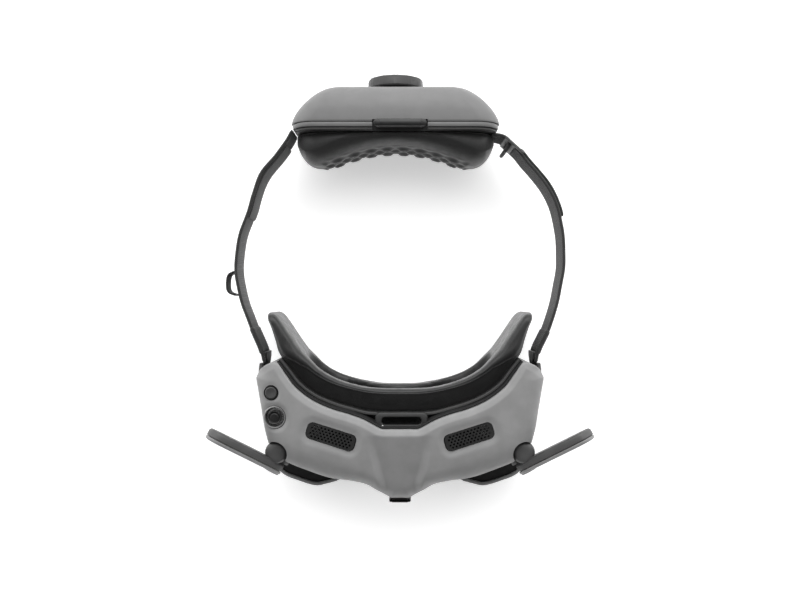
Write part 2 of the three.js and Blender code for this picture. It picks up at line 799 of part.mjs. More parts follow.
addPair('antenna_knuckle', antennaKnuckle(), darkPlastic);
addPair('antenna_pin', pivotRod(PIN_R, -12, 1.8, 16), steel);
addPair('antenna_back_shell', cut(bladeHalf(-BLADE_T / 2, -GAP / 2), pinHole), antennaGrey);
addPair('antenna_front_shell', cut(bladeHalf(GAP / 2, BLADE_T / 2), pinHole), shellGrey);

// ---------------------------------------------------------------- headband

function lugPinHole() {
  return rod(1.8, new THREE.Vector3(60, LUG_Y, LUG_Z), new THREE.Vector3(100, LUG_Y, LUG_Z), 16);
}

function templeLug() {
  const inner = LUG_X - 4.3;
  const outer = LUG_X + 3.9;
  const base = block([inner, outer], [LUG_Y - 7.7, LUG_Y - 5.4], [LUG_Z - 12, LUG_Z + 12]);
  const profile = [[-6, -9], [0, -6], [3.4, -3], [3.4, 3], [0, 6], [-6, 9]];
  const outline = profile.map(([y, z]) => new THREE.Vector2(LUG_Y + y, LUG_Z + z));
  const ears = [xPrism(outline, inner, inner + 2.4), xPrism(outline, outer - 2.2, outer)];
  return mirrored(cut(join(base, ...ears), lugPinHole()));
}

function strapEnd() {
  const profile = [
    [-4.6, -1.6], [-4.6, 1.6], [-2.4, 4.3], [2.4, 5], [7, 10.5], [10.4, 11], [10.4, -11], [7, -10.5],
    [2.4, -5], [-2.4, -4.3],
  ];
  const outline = profile.map(([y, z]) => new THREE.Vector2(LUG_Y + y, LUG_Z + z));
  return mirrored(cut(xPrism(outline, LUG_X - 1.5, LUG_X + 1.3), lugPinHole()));
}

function lugPin() {
  const from = new THREE.Vector3(-LUG_X - 3.9, LUG_Y, LUG_Z);
  return rod(1.5, from, new THREE.Vector3(-LUG_X + 4.3, LUG_Y, LUG_Z), 16);
}

// Plan paths, each from the battery pack to its strap hinge.
const LEFT_STRAP = [
  [-62.5, 90.6], [-65.4, 85.2], [-71.4, 76.8], [-80.3, 65.6], [-85, 53.4], [-87.4, 45], [-92.2, 31.8],
  [-94.6, 17.9], [-94.9, 8.5], [-93.7, -0.8], [-91.4, -9.5], [-87.9, -18.8], [-85, -26],
  [-79.9, -37.4],
];
const RIGHT_STRAP = [
  [57.3, 90.6], [61.2, 85.2], [68.7, 75.8], [78.6, 66.7], [86.7, 56.3], [91.4, 45.2], [93.7, 34.2],
  [94.9, 22.5], [94.9, 11.5], [93.4, 2.1], [90.8, -9.5], [86.6, -23.5], [79.9, -37.4],
];
const PULL_LOOP = [[-96.8, 9], [-100.4, 7], [-101.4, 2.2], [-100.6, -2.8], [-96.2, -5]];
const BUCKLE = [[61.4, 85.3], [65, 80.4], [69.3, 75.2]];

function buckle() {
  const frame = ribbon(BUCKLE, STRAP_T + 3.4, [STRAP_Z[0] - 3, STRAP_Z[1] + 3], 6);
  const slot = ribbon(RIGHT_STRAP, STRAP_T + 2 * GAP, [STRAP_Z[0] - GAP, STRAP_Z[1] + GAP], 28);
  return cut(frame, slot);
}

addPair('temple_lug', templeLug(), antennaGrey);
addPair('lug_pin', lugPin(), steel);
addPair('strap_end', strapEnd(), darkPlastic);
add('left_strap', ribbon(LEFT_STRAP, STRAP_T, STRAP_Z, 28), webbing);
add('right_strap', ribbon(RIGHT_STRAP, STRAP_T, STRAP_Z, 28), webbing);
add('strap_pull_loop', ribbon(PULL_LOOP, 1.2, [29, 41], 12), webbing);
add('right_buckle', buckle(), antennaGrey);

// ---------------------------------------------------------------- battery pack

const pack = new THREE.Group();
pack.position.x = PACK_X;
goggles.add(pack);

function addToPack(name, geometry, material) {
  const mesh = new THREE.Mesh(geometry, material);
  mesh.name = name;
  pack.add(mesh);
}

// A rounded rectangle standing across Y, smaller by a margin in width and in height.
function packRing(y, sideInset, endInset, radius) {
  const points = roundedRect(PACK_W - 2 * sideInset, PACK_H - 2 * endInset, radius, 5);
  return points.map((p) => new THREE.Vector3(p.x, y, PACK_H / 2 + p.y));
}

// The cover's bulge, as [y, inset at the sides, inset at top and bottom, corner radius].
const COVER_LEVELS = [
  [PACK_Y.seam, 0, 0, 14], [97.5, 1.4, 0, 14], [103, 4.6, 0, 14], [108, 9.4, 1.4, 13],
  [112, 14.6, 3.8, 11], [114.6, 19.4, 6.8, 9.5], [PACK_Y.rear, 23, 9.8, 8],
];

// A hole through the cover's rear face, at half the pack's height.
function rearHole(radius, x) {
  const z = PACK_H / 2;
  return rod(radius, new THREE.Vector3(x, 105, z), new THREE.Vector3(x, 120, z));
}

// Room for the strap loop in the top of the pack.
function loopNook() {
  return block([LOOP_X - 15.8, LOOP_X + 15.8], [80, 94.9], [53.6, 70]);
}

function rearCover() {
  const outer = loft(COVER_LEVELS.map(([y, side, end, r]) => packRing(y, side, end, r)));
  const inner = loft([
    packRing(PACK_Y.seam - 1, 2, 2, 12), packRing(97.5, 3.4, 2.4, 12), packRing(103, 6.8, 3.4, 11),
    packRing(108, 11.8, 4, 10), packRing(PACK_Y.rear - 2, 20, 5.4, 8),
  ]);
  return cut(outer, inner, rearHole(3, 0), rearHole(POWER_R + GAP, POWER_X), loopNook());
}

function midFrame() {
  const rear = PACK_Y.seam - GAP;
  const outer = loft([
    packRing(PACK_Y.frame, FRAME_INSET, 0.6, 13), packRing(rear, FRAME_INSET, 0.6, 13),
  ]);
  const well = loft([packRing(PACK_Y.frame + 2, 4.6, 3, 11), packRing(PACK_Y.seam + 2, 4.6, 3, 11)]);
  const shelf = block([LOOP_X - 17.6, LOOP_X + 17.6], [PACK_Y.frame + 0.1, 94.9], [51.6, 53.6]);
  return cut(join(cut(outer, well), shelf), loopNook());
}

function rearStrapLoop() {
  const outer = roundedRect(31, 8, 1.8, 3);
  const opening = roundedRect(24.4, 4.8, 1.2, 3);
  const bar = cut(yPrism(outer, 90.2, 94.6), yPrism(opening, 88, 97));
  return bar.translate(LOOP_X, 0, 58);
}

function packPad() {
  const half = [
    [0, 81.6], [14, 80.2], [27, 76.8], [37, 73.2], [45, 71.4], [51, 73.6], [55, 79], [57.6, 84.6],
    [58, PACK_Y.frame - GAP],
  ];
  const left = half.slice(1).map(([x, y]) => [-x, y]).reverse();
  const outline = [...left, ...half].map(([x, y]) => new THREE.Vector2(x, y));
  return prism(outline, 2.5, 53.2);
}

function cell(z) {
  const left = new THREE.Vector3(-CELL_L / 2, 103.4, z);
  const right = new THREE.Vector3(CELL_L / 2, 103.4, z);
  return rod(CELL_R, left, right, 28);
}

function dial() {
  const sides = 12;
  const [y0, y1] = DIAL_Y;
  const neckLength = y1 - 7 - y0;
  const body = new THREE.CylinderGeometry(DIAL_R - 0.8, DIAL_R, 7.4, sides);
  const neck = new THREE.CylinderGeometry(8, 8, neckLength, 24).translate(0, -3.3 - neckLength / 2, 0);
  const bore = new THREE.CylinderGeometry(2.9, 2.9, 8, 20).translate(0, -4, 0);
  return cut(join(body, neck), bore).translate(0, y1 - 3.7, PACK_H / 2);
}

function dialShaft() {
  const teeth = 10;
  const gear = new THREE.Shape();
  for (let i = 0; i < 4 * teeth; i++) {
    const angle = (i * Math.PI) / (2 * teeth);
    const r = i % 4 < 2 ? 6.4 : 4.8;
    const move = i ? 'lineTo' : 'moveTo';
    gear[move](r * Math.cos(angle), r * Math.sin(angle));
  }
  const pinion = new THREE.ExtrudeGeometry(gear, { depth: 3, bevelEnabled: false });
  const shaft = upright(2.6, 0, 0, 1, 27, 20);
  return join(pinion, shaft).rotateX(-Math.PI / 2).translate(0, 91.6, PACK_H / 2);
}

function powerButton() {
  const profile = [[0, 0], [POWER_R, 0], [POWER_R, 3.4], [POWER_R - 0.8, 4], [0, 4]];
  const reach = PACK_Y.rear - 3.7;
  return turned(profile, 28).rotateX(-Math.PI / 2).translate(POWER_X, reach, PACK_H / 2);
}

addToPack('pack_rear_cover', rearCover(), shellGrey);
addToPack('pack_mid_frame', midFrame(), darkPlastic);
addToPack('pack_pad', packPad(), leather);
addToPack('lower_cell', cell(CELL_Z[0]), cellBlue);
addToPack('upper_cell', cell(CELL_Z[1]), cellBlue);
addToPack('battery_board', block([38, 39.6], [97, 107], [12, 46]), boardGreen);
addToPack('rear_strap_loop', rearStrapLoop(), darkPlastic);
addToPack('tightening_dial', dial(), darkPlastic);
addToPack('dial_shaft', dialShaft(), steel);
addToPack('power_button', powerButton(), darkPlastic);

add('front_strap_loop', frontStrapLoop(), darkPlastic);

export default goggles;
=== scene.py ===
"""Video goggles with folding antennas and a padded battery headband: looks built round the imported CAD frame.

Lengths in the shape code are in millimetres in the row frame, and become metres when a mesh is made.
"""

import json
import math

import bmesh
import bpy
import numpy as np
from mathutils import Matrix, Vector
from mathutils.bvhtree import BVHTree

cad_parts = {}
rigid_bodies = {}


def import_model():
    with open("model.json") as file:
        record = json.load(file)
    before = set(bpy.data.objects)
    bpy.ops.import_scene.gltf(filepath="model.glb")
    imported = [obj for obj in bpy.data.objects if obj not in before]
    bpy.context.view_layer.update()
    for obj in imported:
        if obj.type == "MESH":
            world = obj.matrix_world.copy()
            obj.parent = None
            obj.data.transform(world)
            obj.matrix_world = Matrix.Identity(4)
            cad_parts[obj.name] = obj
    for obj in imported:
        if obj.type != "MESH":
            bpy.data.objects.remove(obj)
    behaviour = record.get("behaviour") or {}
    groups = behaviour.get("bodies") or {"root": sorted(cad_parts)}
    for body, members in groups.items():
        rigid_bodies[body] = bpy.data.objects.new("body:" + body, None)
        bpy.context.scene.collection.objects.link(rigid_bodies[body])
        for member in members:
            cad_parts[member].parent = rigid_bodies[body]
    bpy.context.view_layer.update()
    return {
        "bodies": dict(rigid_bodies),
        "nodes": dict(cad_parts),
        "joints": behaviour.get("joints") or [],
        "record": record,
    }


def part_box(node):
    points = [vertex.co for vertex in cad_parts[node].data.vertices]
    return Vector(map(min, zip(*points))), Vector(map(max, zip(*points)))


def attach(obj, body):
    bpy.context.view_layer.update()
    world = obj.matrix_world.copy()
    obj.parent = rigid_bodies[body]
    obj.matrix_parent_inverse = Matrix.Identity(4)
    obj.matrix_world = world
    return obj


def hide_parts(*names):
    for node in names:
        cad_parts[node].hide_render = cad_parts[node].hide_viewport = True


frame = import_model()
NODES = frame["nodes"]
JOINTS = {joint["name"]: joint for joint in frame["joints"]}
MM = 0.001


def node_box(name):
    """Lowest and highest corner of a CAD node, in millimetres."""
    lo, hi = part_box(name)
    return np.array(lo) / MM, np.array(hi) / MM


def node_centre(name):
    lo, hi = node_box(name)
    return (lo + hi) / 2


# ------------------------------------------------------------------ camera, floor and light

# In metres; the lens is in millimetres.
CAMERA_HEIGHT = 0.600
CAMERA_Y = -0.00775
LENS = 43.0
FLOOR_SIZE = 6.0
FLOOR_DROP = 0.0002
FLOOR_GLOW = 0.42
KEY_LIGHT = {"place": (0.10, 0.75, 1.05), "size": 0.9, "power": 4.5}


def build_stage():
    """Overhead camera, white floor and one soft light."""
    scene = bpy.context.scene
    scene.view_settings.view_transform = "Standard"
    scene.world = studio_world()

    camera_data = bpy.data.cameras.new("camera")
    camera_data.lens = LENS
    camera_data.sensor_width = 36.0
    camera_data.clip_start = 0.01
    camera = bpy.data.objects.new("camera", camera_data)
    camera.location = (0.0, CAMERA_Y, CAMERA_HEIGHT)
    scene.collection.objects.link(camera)
    scene.camera = camera

    bpy.ops.mesh.primitive_plane_add(size=FLOOR_SIZE, location=(0, 0, -FLOOR_DROP))
    floor = bpy.context.object
    floor.name = "floor"
    paper = plain_material("floor_white", (0.93, 0.93, 0.93), 0.9)
    glow = paper.node_tree.nodes["Principled BSDF"].inputs
    glow["Emission Color"].default_value = (1.0, 1.0, 1.0, 1.0)
    glow["Emission Strength"].default_value = FLOOR_GLOW
    floor.data.materials.append(paper)

    add_softbox("key", **KEY_LIGHT)


def studio_world():
    """A white room lit from behind the pack, with a dark patch of ceiling straight above."""
    world = bpy.data.worlds.new("studio")
    world.use_nodes = True
    tree = world.node_tree
    background = tree.nodes["Background"]
    background.inputs["Color"].default_value = (1.0, 1.0, 1.0, 1.0)
    coords = tree.nodes.new("ShaderNodeTexCoord")
    split = tree.nodes.new("ShaderNodeSeparateXYZ")
    tree.links.new(coords.outputs["Generated"], split.inputs["Vector"])

    def level(source, start, stop, low, high):
        span = tree.nodes.new("ShaderNodeMapRange")
        span.interpolation_type = "SMOOTHSTEP"
        for socket, value in zip(("From Min", "From Max", "To Min", "To Max"), (start, stop, low, high)):
            span.inputs[socket].default_value = value
        tree.links.new(source, span.inputs["Value"])
        return span.outputs["Result"]

    lit = tree.nodes.new("ShaderNodeMath")
    lit.operation = "MULTIPLY"
    tree.links.new(level(split.outputs["Y"], -0.45, 0.65, 0.34, 2.3), lit.inputs[0])
    tree.links.new(level(split.outputs["Z"], 0.80, 0.96, 1.0, 0.2), lit.inputs[1])
    path = tree.nodes.new("ShaderNodeLightPath")
    shown = tree.nodes.new("ShaderNodeMix")
    tree.links.new(path.outputs["Is Camera Ray"], shown.inputs["Factor"])
    tree.links.new(lit.outputs["Value"], shown.inputs["A"])
    shown.inputs["B"].default_value = 1.0
    tree.links.new(shown.outputs["Result"], background.inputs["Strength"])
    return world


def add_softbox(name, place, size, power):
    data = bpy.data.lights.new(name, "AREA")
    data.shape = "SQUARE"
    data.size = size
    data.energy = power
    lamp = bpy.data.objects.new(name, data)
    lamp.location = place
    aim = Vector((0, 0, 0.03)) - Vector(place)
    lamp.rotation_mode = "QUATERNION"
    lamp.rotation_quaternion = aim.to_track_quat("-Z", "Y")
    bpy.context.scene.collection.objects.link(lamp)


# ------------------------------------------------------------------ materials


def srgb(value):
    """Linear value of an sRGB level from 0 to 255."""
    c = value / 255.0
    return c / 12.92 if c <= 0.04045 else ((c + 0.055) / 1.055) ** 2.4


def grey(level, warmth=0.0):
    return tuple(srgb(level + shift) for shift in (warmth, 0.0, -warmth))


def plain_material(name, color, roughness, metallic=0.0):
    material = bpy.data.materials.new(name)
    material.use_nodes = True
    shader = material.node_tree.nodes["Principled BSDF"]
    shader.inputs["Base Color"].default_value = (*color, 1.0)
    shader.inputs["Roughness"].default_value = roughness
    shader.inputs["Metallic"].default_value = metallic
    return material


class Painter:
    """A material being built: its shader, and short calls that add and join nodes."""

    def __init__(self, name, color, roughness, metallic=0.0):
        self.material = plain_material(name, color, roughness, metallic)
        self.tree = self.material.node_tree
        self.shader = self.tree.nodes["Principled BSDF"]

    def node(self, kind, **settings):
        made = self.tree.nodes.new(kind)
        for key, value in settings.items():
            setattr(made, key, value)
        return made

    def join(self, source, target):
        self.tree.links.new(source, target)

    def place(self, scale, use_uv=False):
        """Coordinates in millimetres times scale: the object's own, or the piece's UVs."""
        coords = self.node("ShaderNodeTexCoord")
        mapping = self.node("ShaderNodeMapping")
        factor = scale if use_uv else [s / MM for s in scale]
        mapping.inputs["Scale"].default_value = factor
        self.join(coords.outputs["UV" if use_uv else "Object"], mapping.inputs["Vector"])
        return mapping.outputs["Vector"]

    def noise(self, size, detail=2.0, stretch=(1, 1, 1), use_uv=False):
        """Noise whose features are about size millimetres across."""
        texture = self.node("ShaderNodeTexNoise")
        texture.inputs["Scale"].default_value = 1.0
        texture.inputs["Detail"].default_value = detail
        place = self.place([s / size for s in stretch], use_uv)
        self.join(place, texture.inputs["Vector"])
        return texture.outputs["Fac"]

    def cells(self, size):
        """Distance to the edges of random cells about size millimetres across."""
        texture = self.node("ShaderNodeTexVoronoi", feature="DISTANCE_TO_EDGE")
        texture.inputs["Scale"].default_value = 1.0
        self.join(self.place([1 / size] * 3), texture.inputs["Vector"])
        return texture.outputs["Distance"]

    def ramp(self, source, low, high, start=0.35, stop=0.65):
        """Maps a texture value to a range of numbers."""
        span = self.node("ShaderNodeMapRange")
        span.inputs["From Min"].default_value = start
        span.inputs["From Max"].default_value = stop
        span.inputs["To Min"].default_value = low
        span.inputs["To Max"].default_value = high
        self.join(source, span.inputs["Value"])
        return span.outputs["Result"]

    def math(self, operation, a, b=None):
        made = self.node("ShaderNodeMath", operation=operation)
        for socket, value in zip(made.inputs, (a, b)):
            if isinstance(value, (int, float)):
                socket.default_value = value
            elif value is not None:
                self.join(value, socket)
        return made.outputs["Value"]

    def tint(self, factor, dark, light):
        """Colour between two shades, by a factor from 0 to 1."""
        mix = self.node("ShaderNodeMix", data_type="RGBA")
        mix.inputs["A"].default_value = (*dark, 1.0)
        mix.inputs["B"].default_value = (*light, 1.0)
        self.join(factor, mix.inputs["Factor"])
        self.join(mix.outputs["Result"], self.shader.inputs["Base Color"])

    def rough(self, source):
        self.join(source, self.shader.inputs["Roughness"])

    def bump(self, height, depth, strength=1.0):
        """Bump of a height from 0 to 1 that stands for depth millimetres."""
        bump = self.node("ShaderNodeBump")
        bump.inputs["Strength"].default_value = strength
        bump.inputs["Distance"].default_value = depth * MM
        self.join(height, bump.inputs["Height"])
        if self.shader.inputs["Normal"].is_linked:
            self.join(self.shader.inputs["Normal"].links[0].from_socket, bump.inputs["Normal"])
        self.join(bump.outputs["Normal"], self.shader.inputs["Normal"])


def moulded_plastic(name, level, roughness, depth=0.012, spread=3):
    """Injection-moulded plastic with a fine spark-eroded grain and faint mottling."""
    p = Painter(name, grey(level), roughness)
    p.tint(p.ramp(p.noise(9.0, 3.0), 0, 1), grey(level - spread), grey(level + spread))
    p.rough(p.ramp(p.noise(4.0, 4.0), roughness - 0.05, roughness + 0.05))
    p.bump(p.noise(0.35, 2.0), depth, 0.6)
    return p.material


def soft_leather(name, level, roughness, sheen=0.35):
    """Synthetic leather: a pebbled grain of small cells with softer creases between."""
    p = Painter(name, grey(level), roughness)
    cell = p.cells(0.9)
    p.tint(p.ramp(cell, 0, 1, 0.0, 0.35), grey(level - 7), grey(level + 4))
    p.rough(p.ramp(p.noise(5.0, 3.0), roughness - 0.06, roughness + 0.08))
    p.bump(p.ramp(cell, 0, 1, 0.0, 0.3), 0.07, 0.55)
    p.bump(p.noise(14.0, 3.0), 0.35, 0.25)
    p.shader.inputs["Sheen Weight"].default_value = sheen
    p.shader.inputs["Sheen Roughness"].default_value = 0.45
    return p.material


def woven_webbing(name, level, pitch=1.1):
    """Woven band: ribs along its length crossed by picks, from UVs in millimetres."""
    p = Painter(name, grey(level), 0.85)
    coords = p.place([math.pi / pitch, math.pi / pitch, 1], use_uv=True)
    split = p.node("ShaderNodeSeparateXYZ")
    p.join(coords, split.inputs["Vector"])
    along = p.math("ABSOLUTE", p.math("SINE", p.math("ADD", split.outputs["X"], split.outputs["Y"])))
    across = p.math("ABSOLUTE", p.math("SINE", p.math("SUBTRACT", split.outputs["X"], split.outputs["Y"])))
    weave = p.math("MULTIPLY", along, across)
    fuzz = p.noise(0.5, 3.0)
    p.tint(p.math("MULTIPLY", weave, fuzz), grey(level - 12), grey(level + 16))
    p.bump(weave, 0.25, 0.9)
    p.bump(fuzz, 0.08, 0.5)
    p.shader.inputs["Sheen Weight"].default_value = 0.2
    p.shader.inputs["Sheen Roughness"].default_value = 0.6
    return p.material


def brushed_metal(name, level, roughness):
    """Metal with fine streaks along Z."""
    p = Painter(name, grey(level), roughness, 1.0)
    p.rough(p.ramp(p.noise(0.6, 3.0, (1, 1, 12)), roughness - 0.08, roughness + 0.1))
    p.bump(p.noise(0.5, 2.0, (1, 1, 10)), 0.01, 0.4)
    return p.material


def coated_glass(name):
    """Dark glass with a bluish coating."""
    p = Painter(name, (0.04, 0.05, 0.08), 0.04)
    p.tint(p.ramp(p.noise(20.0, 1.0), 0, 1), (0.03, 0.03, 0.06), (0.05, 0.07, 0.10))
    p.shader.inputs["Coat Weight"].default_value = 1.0
    p.shader.inputs["Coat Roughness"].default_value = 0.02
    p.bump(p.noise(6.0, 1.0), 0.002, 0.2)
    return p.material


def circuit_board(name):
    """Green solder mask over lighter traces."""
    p = Painter(name, (0.02, 0.09, 0.05), 0.4)
    traces = p.node("ShaderNodeTexBrick")
    p.join(p.place([0.35, 0.35, 0.35]), traces.inputs["Vector"])
    p.tint(traces.outputs["Fac"], (0.015, 0.08, 0.045), (0.05, 0.20, 0.10))
    p.bump(traces.outputs["Fac"], 0.05, 0.5)
    return p.material


MATERIALS = {
    "shell": moulded_plastic("shell_grey", 126, 0.46),
    "cover": moulded_plastic("cover_grey", 107, 0.42, spread=2),
    "band": moulded_plastic("band_grey", 100, 0.42),
    "dark": moulded_plastic("dark_plastic", 38, 0.48),
    "key": moulded_plastic("key_plastic", 52, 0.36),
    "dial": moulded_plastic("dial_plastic", 40, 0.42),
    "black": moulded_plastic("black_plastic", 20, 0.34, depth=0.006),
    # Near-black plastic that also carries painted shade: the face seal plate, the strip in the gap between the
    # face seal rim and the roof, and the dock panels in their recesses under the roof.
    "black_and_shade": moulded_plastic("black_and_shade_plastic", 10, 0.75, depth=0.006, spread=1),
    "antenna_dark": moulded_plastic("antenna_dark", 66, 0.45),
    "antenna_light": moulded_plastic("antenna_light", 132, 0.45),
    "seal": soft_leather("seal_leather", 25, 0.42, 0.16),
    "pad": soft_leather("pad_leather", 20, 0.5, 0.3),
    "webbing": woven_webbing("webbing", 27),
    "sleeve": woven_webbing("sleeve_fabric", 21, 0.8),
    "steel": brushed_metal("steel", 205, 0.28),
    "aluminium": brushed_metal("aluminium", 190, 0.38),
    "glass": coated_glass("coated_glass"),
    "board": circuit_board("circuit_board"),
    "cell": moulded_plastic("cell_wrap", 80, 0.3),
}

SLOT_FINISH = {
    "shell": "shell", "dark_plastic": "dark", "black_plastic": "black", "antenna_plastic": "antenna_dark",
    "seal_leather": "seal", "pad_leather": "pad", "webbing": "webbing", "steel": "steel",
    "lens_glass": "glass", "screen": "glass", "circuit_board": "board", "cell_wrap": "cell",
    "aluminium": "aluminium",
}


def paint_cad_nodes():
    """Every CAD node gets the finish of its slot; replaced ones are hidden later."""
    for row in frame["record"]["subparts"]:
        mesh = NODES[row["node"]].data
        mesh.materials.clear()
        mesh.materials.append(MATERIALS[SLOT_FINISH[row["material_slot"]]])


# ------------------------------------------------------------------ mesh helpers


def signed_volume(points, faces):
    """Six times the volume inside the faces, negative when they point in."""
    total = 0.0
    for face in faces:
        a = points[face[0]]
        for i in range(1, len(face) - 1):
            total += np.dot(a, np.cross(points[face[i]], points[face[i + 1]]))
    return total


def raw_object(name, points, faces):
    """A closed mesh with its faces pointing out, from points in millimetres."""
    points = np.asarray(points, float)
    if signed_volume(points, faces) < 0:
        faces = [tuple(reversed(face)) for face in faces]
    mesh = bpy.data.meshes.new(name)
    mesh.from_pydata([tuple(p) for p in points * MM], [], faces)
    made = bpy.data.objects.new(name, mesh)
    bpy.context.scene.collection.objects.link(made)
    return made


def dress(piece, body, finish, replaces=(), sharp=32):
    """Finish and body of a piece; the CAD nodes it replaces are hidden."""
    mesh = piece.data
    mesh.materials.clear()
    mesh.materials.append(MATERIALS[finish])
    mesh.shade_smooth()
    if sharp:
        mesh.set_sharp_from_angle(angle=math.radians(sharp))
    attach(piece, body)
    if replaces:
        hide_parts(*replaces)
    return piece


def dress_pair(piece, name, body, finish, node="", sharp=32):
    """Dresses a right-hand piece and its mirror image; {} in the names stands for the side."""
    for side, made in (("right", piece), ("left", mirrored(piece))):
        made.name = name.format(side)
        dress(made, body.format(side), finish, [node.format(side)] if node else (), sharp)


def bake_modifiers(piece):
    """Replaces the piece's mesh with its evaluated one and drops its modifiers."""
    graph = bpy.context.evaluated_depsgraph_get()
    graph.update()
    mesh = bpy.data.meshes.new_from_object(piece.evaluated_get(graph))
    piece.modifiers.clear()
    piece.data = mesh


def boolean(piece, operation, *tools):
    """Cuts tools away from a piece or joins them to it, and removes them."""
    for tool in tools:
        step = piece.modifiers.new("boolean", "BOOLEAN")
        step.operation = operation
        step.solver = "MANIFOLD"
        step.object = tool
        bake_modifiers(piece)
        bpy.data.objects.remove(tool)
    return piece


def cut(piece, *tools):
    return boolean(piece, "DIFFERENCE", *tools)


def join(piece, *tools):
    return boolean(piece, "UNION", *tools)


def soften(piece, width, segments=2, angle=35):
    """Rounds the sharp edges of a piece."""
    weld = piece.modifiers.new("weld", "WELD")
    weld.merge_threshold = 1e-6
    bevel = piece.modifiers.new("bevel", "BEVEL")
    bevel.width = width * MM
    bevel.segments = segments
    bevel.limit_method = "ANGLE"
    bevel.angle_limit = math.radians(angle)
    normals = piece.modifiers.new("normals", "WEIGHTED_NORMAL")
    normals.keep_sharp = True
    return piece


def loft(rings):
    """Points and faces through rings of equal length, closed at both ends."""
    rings = [np.asarray(r, float) for r in rings]
    n = len(rings[0])
    faces = []
    for k in range(len(rings) - 1):
        for i in range(n):
            j = (i + 1) % n
            faces.append((k * n + i, k * n + j, (k + 1) * n + j, (k + 1) * n + i))
    faces.append(tuple(range(n))[::-1])
    faces.append(tuple((len(rings) - 1) * n + i for i in range(n)))
    return np.vstack(rings), faces


def flat_ring(plan, z):
    """A plan outline lifted to a height."""
    plan = np.asarray(plan, float)
    return np.column_stack([plan, np.full(len(plan), z)])


def prism(plan, z0, z1):
    return raw_object("prism", *loft([flat_ring(plan, z0), flat_ring(plan, z1)]))


def y_prism(outline, y0, y1):
    """An outline in (x, z) pushed along Y."""
    rings = [[(x, y, z) for x, z in outline] for y in (y0, y1)]
    return raw_object("prism", *loft(rings))


def block(x, y, z):
    return prism([(x[0], y[0]), (x[1], y[0]), (x[1], y[1]), (x[0], y[1])], *z)


def perpendiculars(direction):
    """A unit direction, and two more square to it."""
    direction = np.asarray(direction, float) / np.linalg.norm(direction)
    guide = [0, 0, 1.0] if abs(direction[2]) < 0.9 else [1.0, 0, 0]
    side = np.cross(guide, direction)
    side /= np.linalg.norm(side)
    return direction, side, np.cross(direction, side)


def full_turn(steps):
    """Evenly spaced angles round a circle."""
    return np.linspace(0, 2 * math.pi, steps, endpoint=False)


def turned(name, centre, direction, profile, steps=64):
    """A profile of (radius, height) pairs turned about a line, from one end to the other."""
    axis, side, up = perpendiculars(direction)
    centre = np.asarray(centre, float)
    turn = full_turn(steps)
    wheel = np.cos(turn)[:, None] * side + np.sin(turn)[:, None] * up
    return raw_object(name, *loft([centre + axis * h + wheel * max(r, 0.02) for r, h in profile]))


def rounded(profile, radius, steps=3):
    """A profile with each inner corner rounded."""
    p = np.asarray(profile, float)
    out = [p[0]]
    for before, corner, after in zip(p[:-2], p[1:-1], p[2:]):
        reach = min(radius, np.linalg.norm(before - corner) * 0.45, np.linalg.norm(after - corner) * 0.45)
        start = corner + (before - corner) / np.linalg.norm(before - corner) * reach
        end = corner + (after - corner) / np.linalg.norm(after - corner) * reach
        for i in range(steps + 1):
            t = i / steps
            out.append((1 - t) ** 2 * start + 2 * t * (1 - t) * corner + t * t * end)
    out.append(p[-1])
    return np.array(out)


def rounded_loop(points, radius, steps):
    """A closed outline with each corner rounded."""
    return rounded(np.vstack([points[-1], points, points[0]]), radius, steps)[1:-1]


def rounded_rect(width, height, radius, steps=8):
    """Corners of a rounded rectangle round the origin, anticlockwise from the right."""
    points = []
    for corner in range(4):
        cx = (1 if corner in (0, 3) else -1) * (width / 2 - radius)
        cy = (1 if corner < 2 else -1) * (height / 2 - radius)
        for i in range(steps + 1):
            angle = (corner + i / steps) * math.pi / 2
            points.append((cx + radius * math.cos(angle), cy + radius * math.sin(angle)))
    return np.array(points)


def circle(radius, steps=48):
    turn = full_turn(steps)
    return np.column_stack([radius * np.cos(turn), radius * np.sin(turn)])


def moved(plan, x, y, turn=0.0):
    """A plan outline turned about the origin, then shifted."""
    cos, sin = math.cos(turn), math.sin(turn)
    return np.asarray(plan, float) @ np.array([[cos, sin], [-sin, cos]]) + [x, y]


def smooth_path(points, per_span=10, closed=False):
    """A centripetal curve through points, with per_span samples between neighbours."""
    p = np.asarray(points, float)
    if closed:
        p = np.vstack([p[-1], p, p[0], p[1]])
    else:
        p = np.vstack([2 * p[0] - p[1], p, 2 * p[-1] - p[-2]])
    out = []
    for k in range(len(p) - 3):
        a, b, c, d = p[k:k + 4]
        t1 = np.linalg.norm(b - a) ** 0.5
        t2 = t1 + np.linalg.norm(c - b) ** 0.5
        t3 = t2 + np.linalg.norm(d - c) ** 0.5
        for i in range(per_span):
            t = t1 + (t2 - t1) * i / per_span
            a1 = (t1 - t) / t1 * a + t / t1 * b
            a2 = (t2 - t) / (t2 - t1) * b + (t - t1) / (t2 - t1) * c
            a3 = (t3 - t) / (t3 - t2) * c + (t - t2) / (t3 - t2) * d
            b1 = (t2 - t) / t2 * a1 + t / t2 * a2
            b2 = (t3 - t) / (t3 - t1) * a2 + (t - t1) / (t3 - t1) * a3
            out.append((t2 - t) / (t2 - t1) * b1 + (t - t1) / (t2 - t1) * b2)
    if not closed:
        out.append(p[-2])
    return np.array(out)


def both_sides(half):
    """A left-to-right row of points from the half that starts on the middle plane."""
    half = np.asarray(half, float)
    left = half[half[:, 0] > 1e-6][::-1] * [-1, 1]
    return np.vstack([left, half])


def offset_line(outline, distance):
    """A closed anticlockwise outline moved inwards, point by point."""
    step = np.roll(outline, -1, axis=0) - np.roll(outline, 1, axis=0)
    normal = np.column_stack([-step[:, 1], step[:, 0]])
    normal /= np.maximum(np.linalg.norm(normal, axis=1), 1e-9)[:, None]
    return outline + normal * distance


def side_normals(line):
    """Unit vectors square to an open plan line, on its left."""
    step = np.gradient(np.asarray(line, float), axis=0)
    normal = np.column_stack([-step[:, 1], step[:, 0]])
    return normal / np.linalg.norm(normal, axis=1)[:, None]


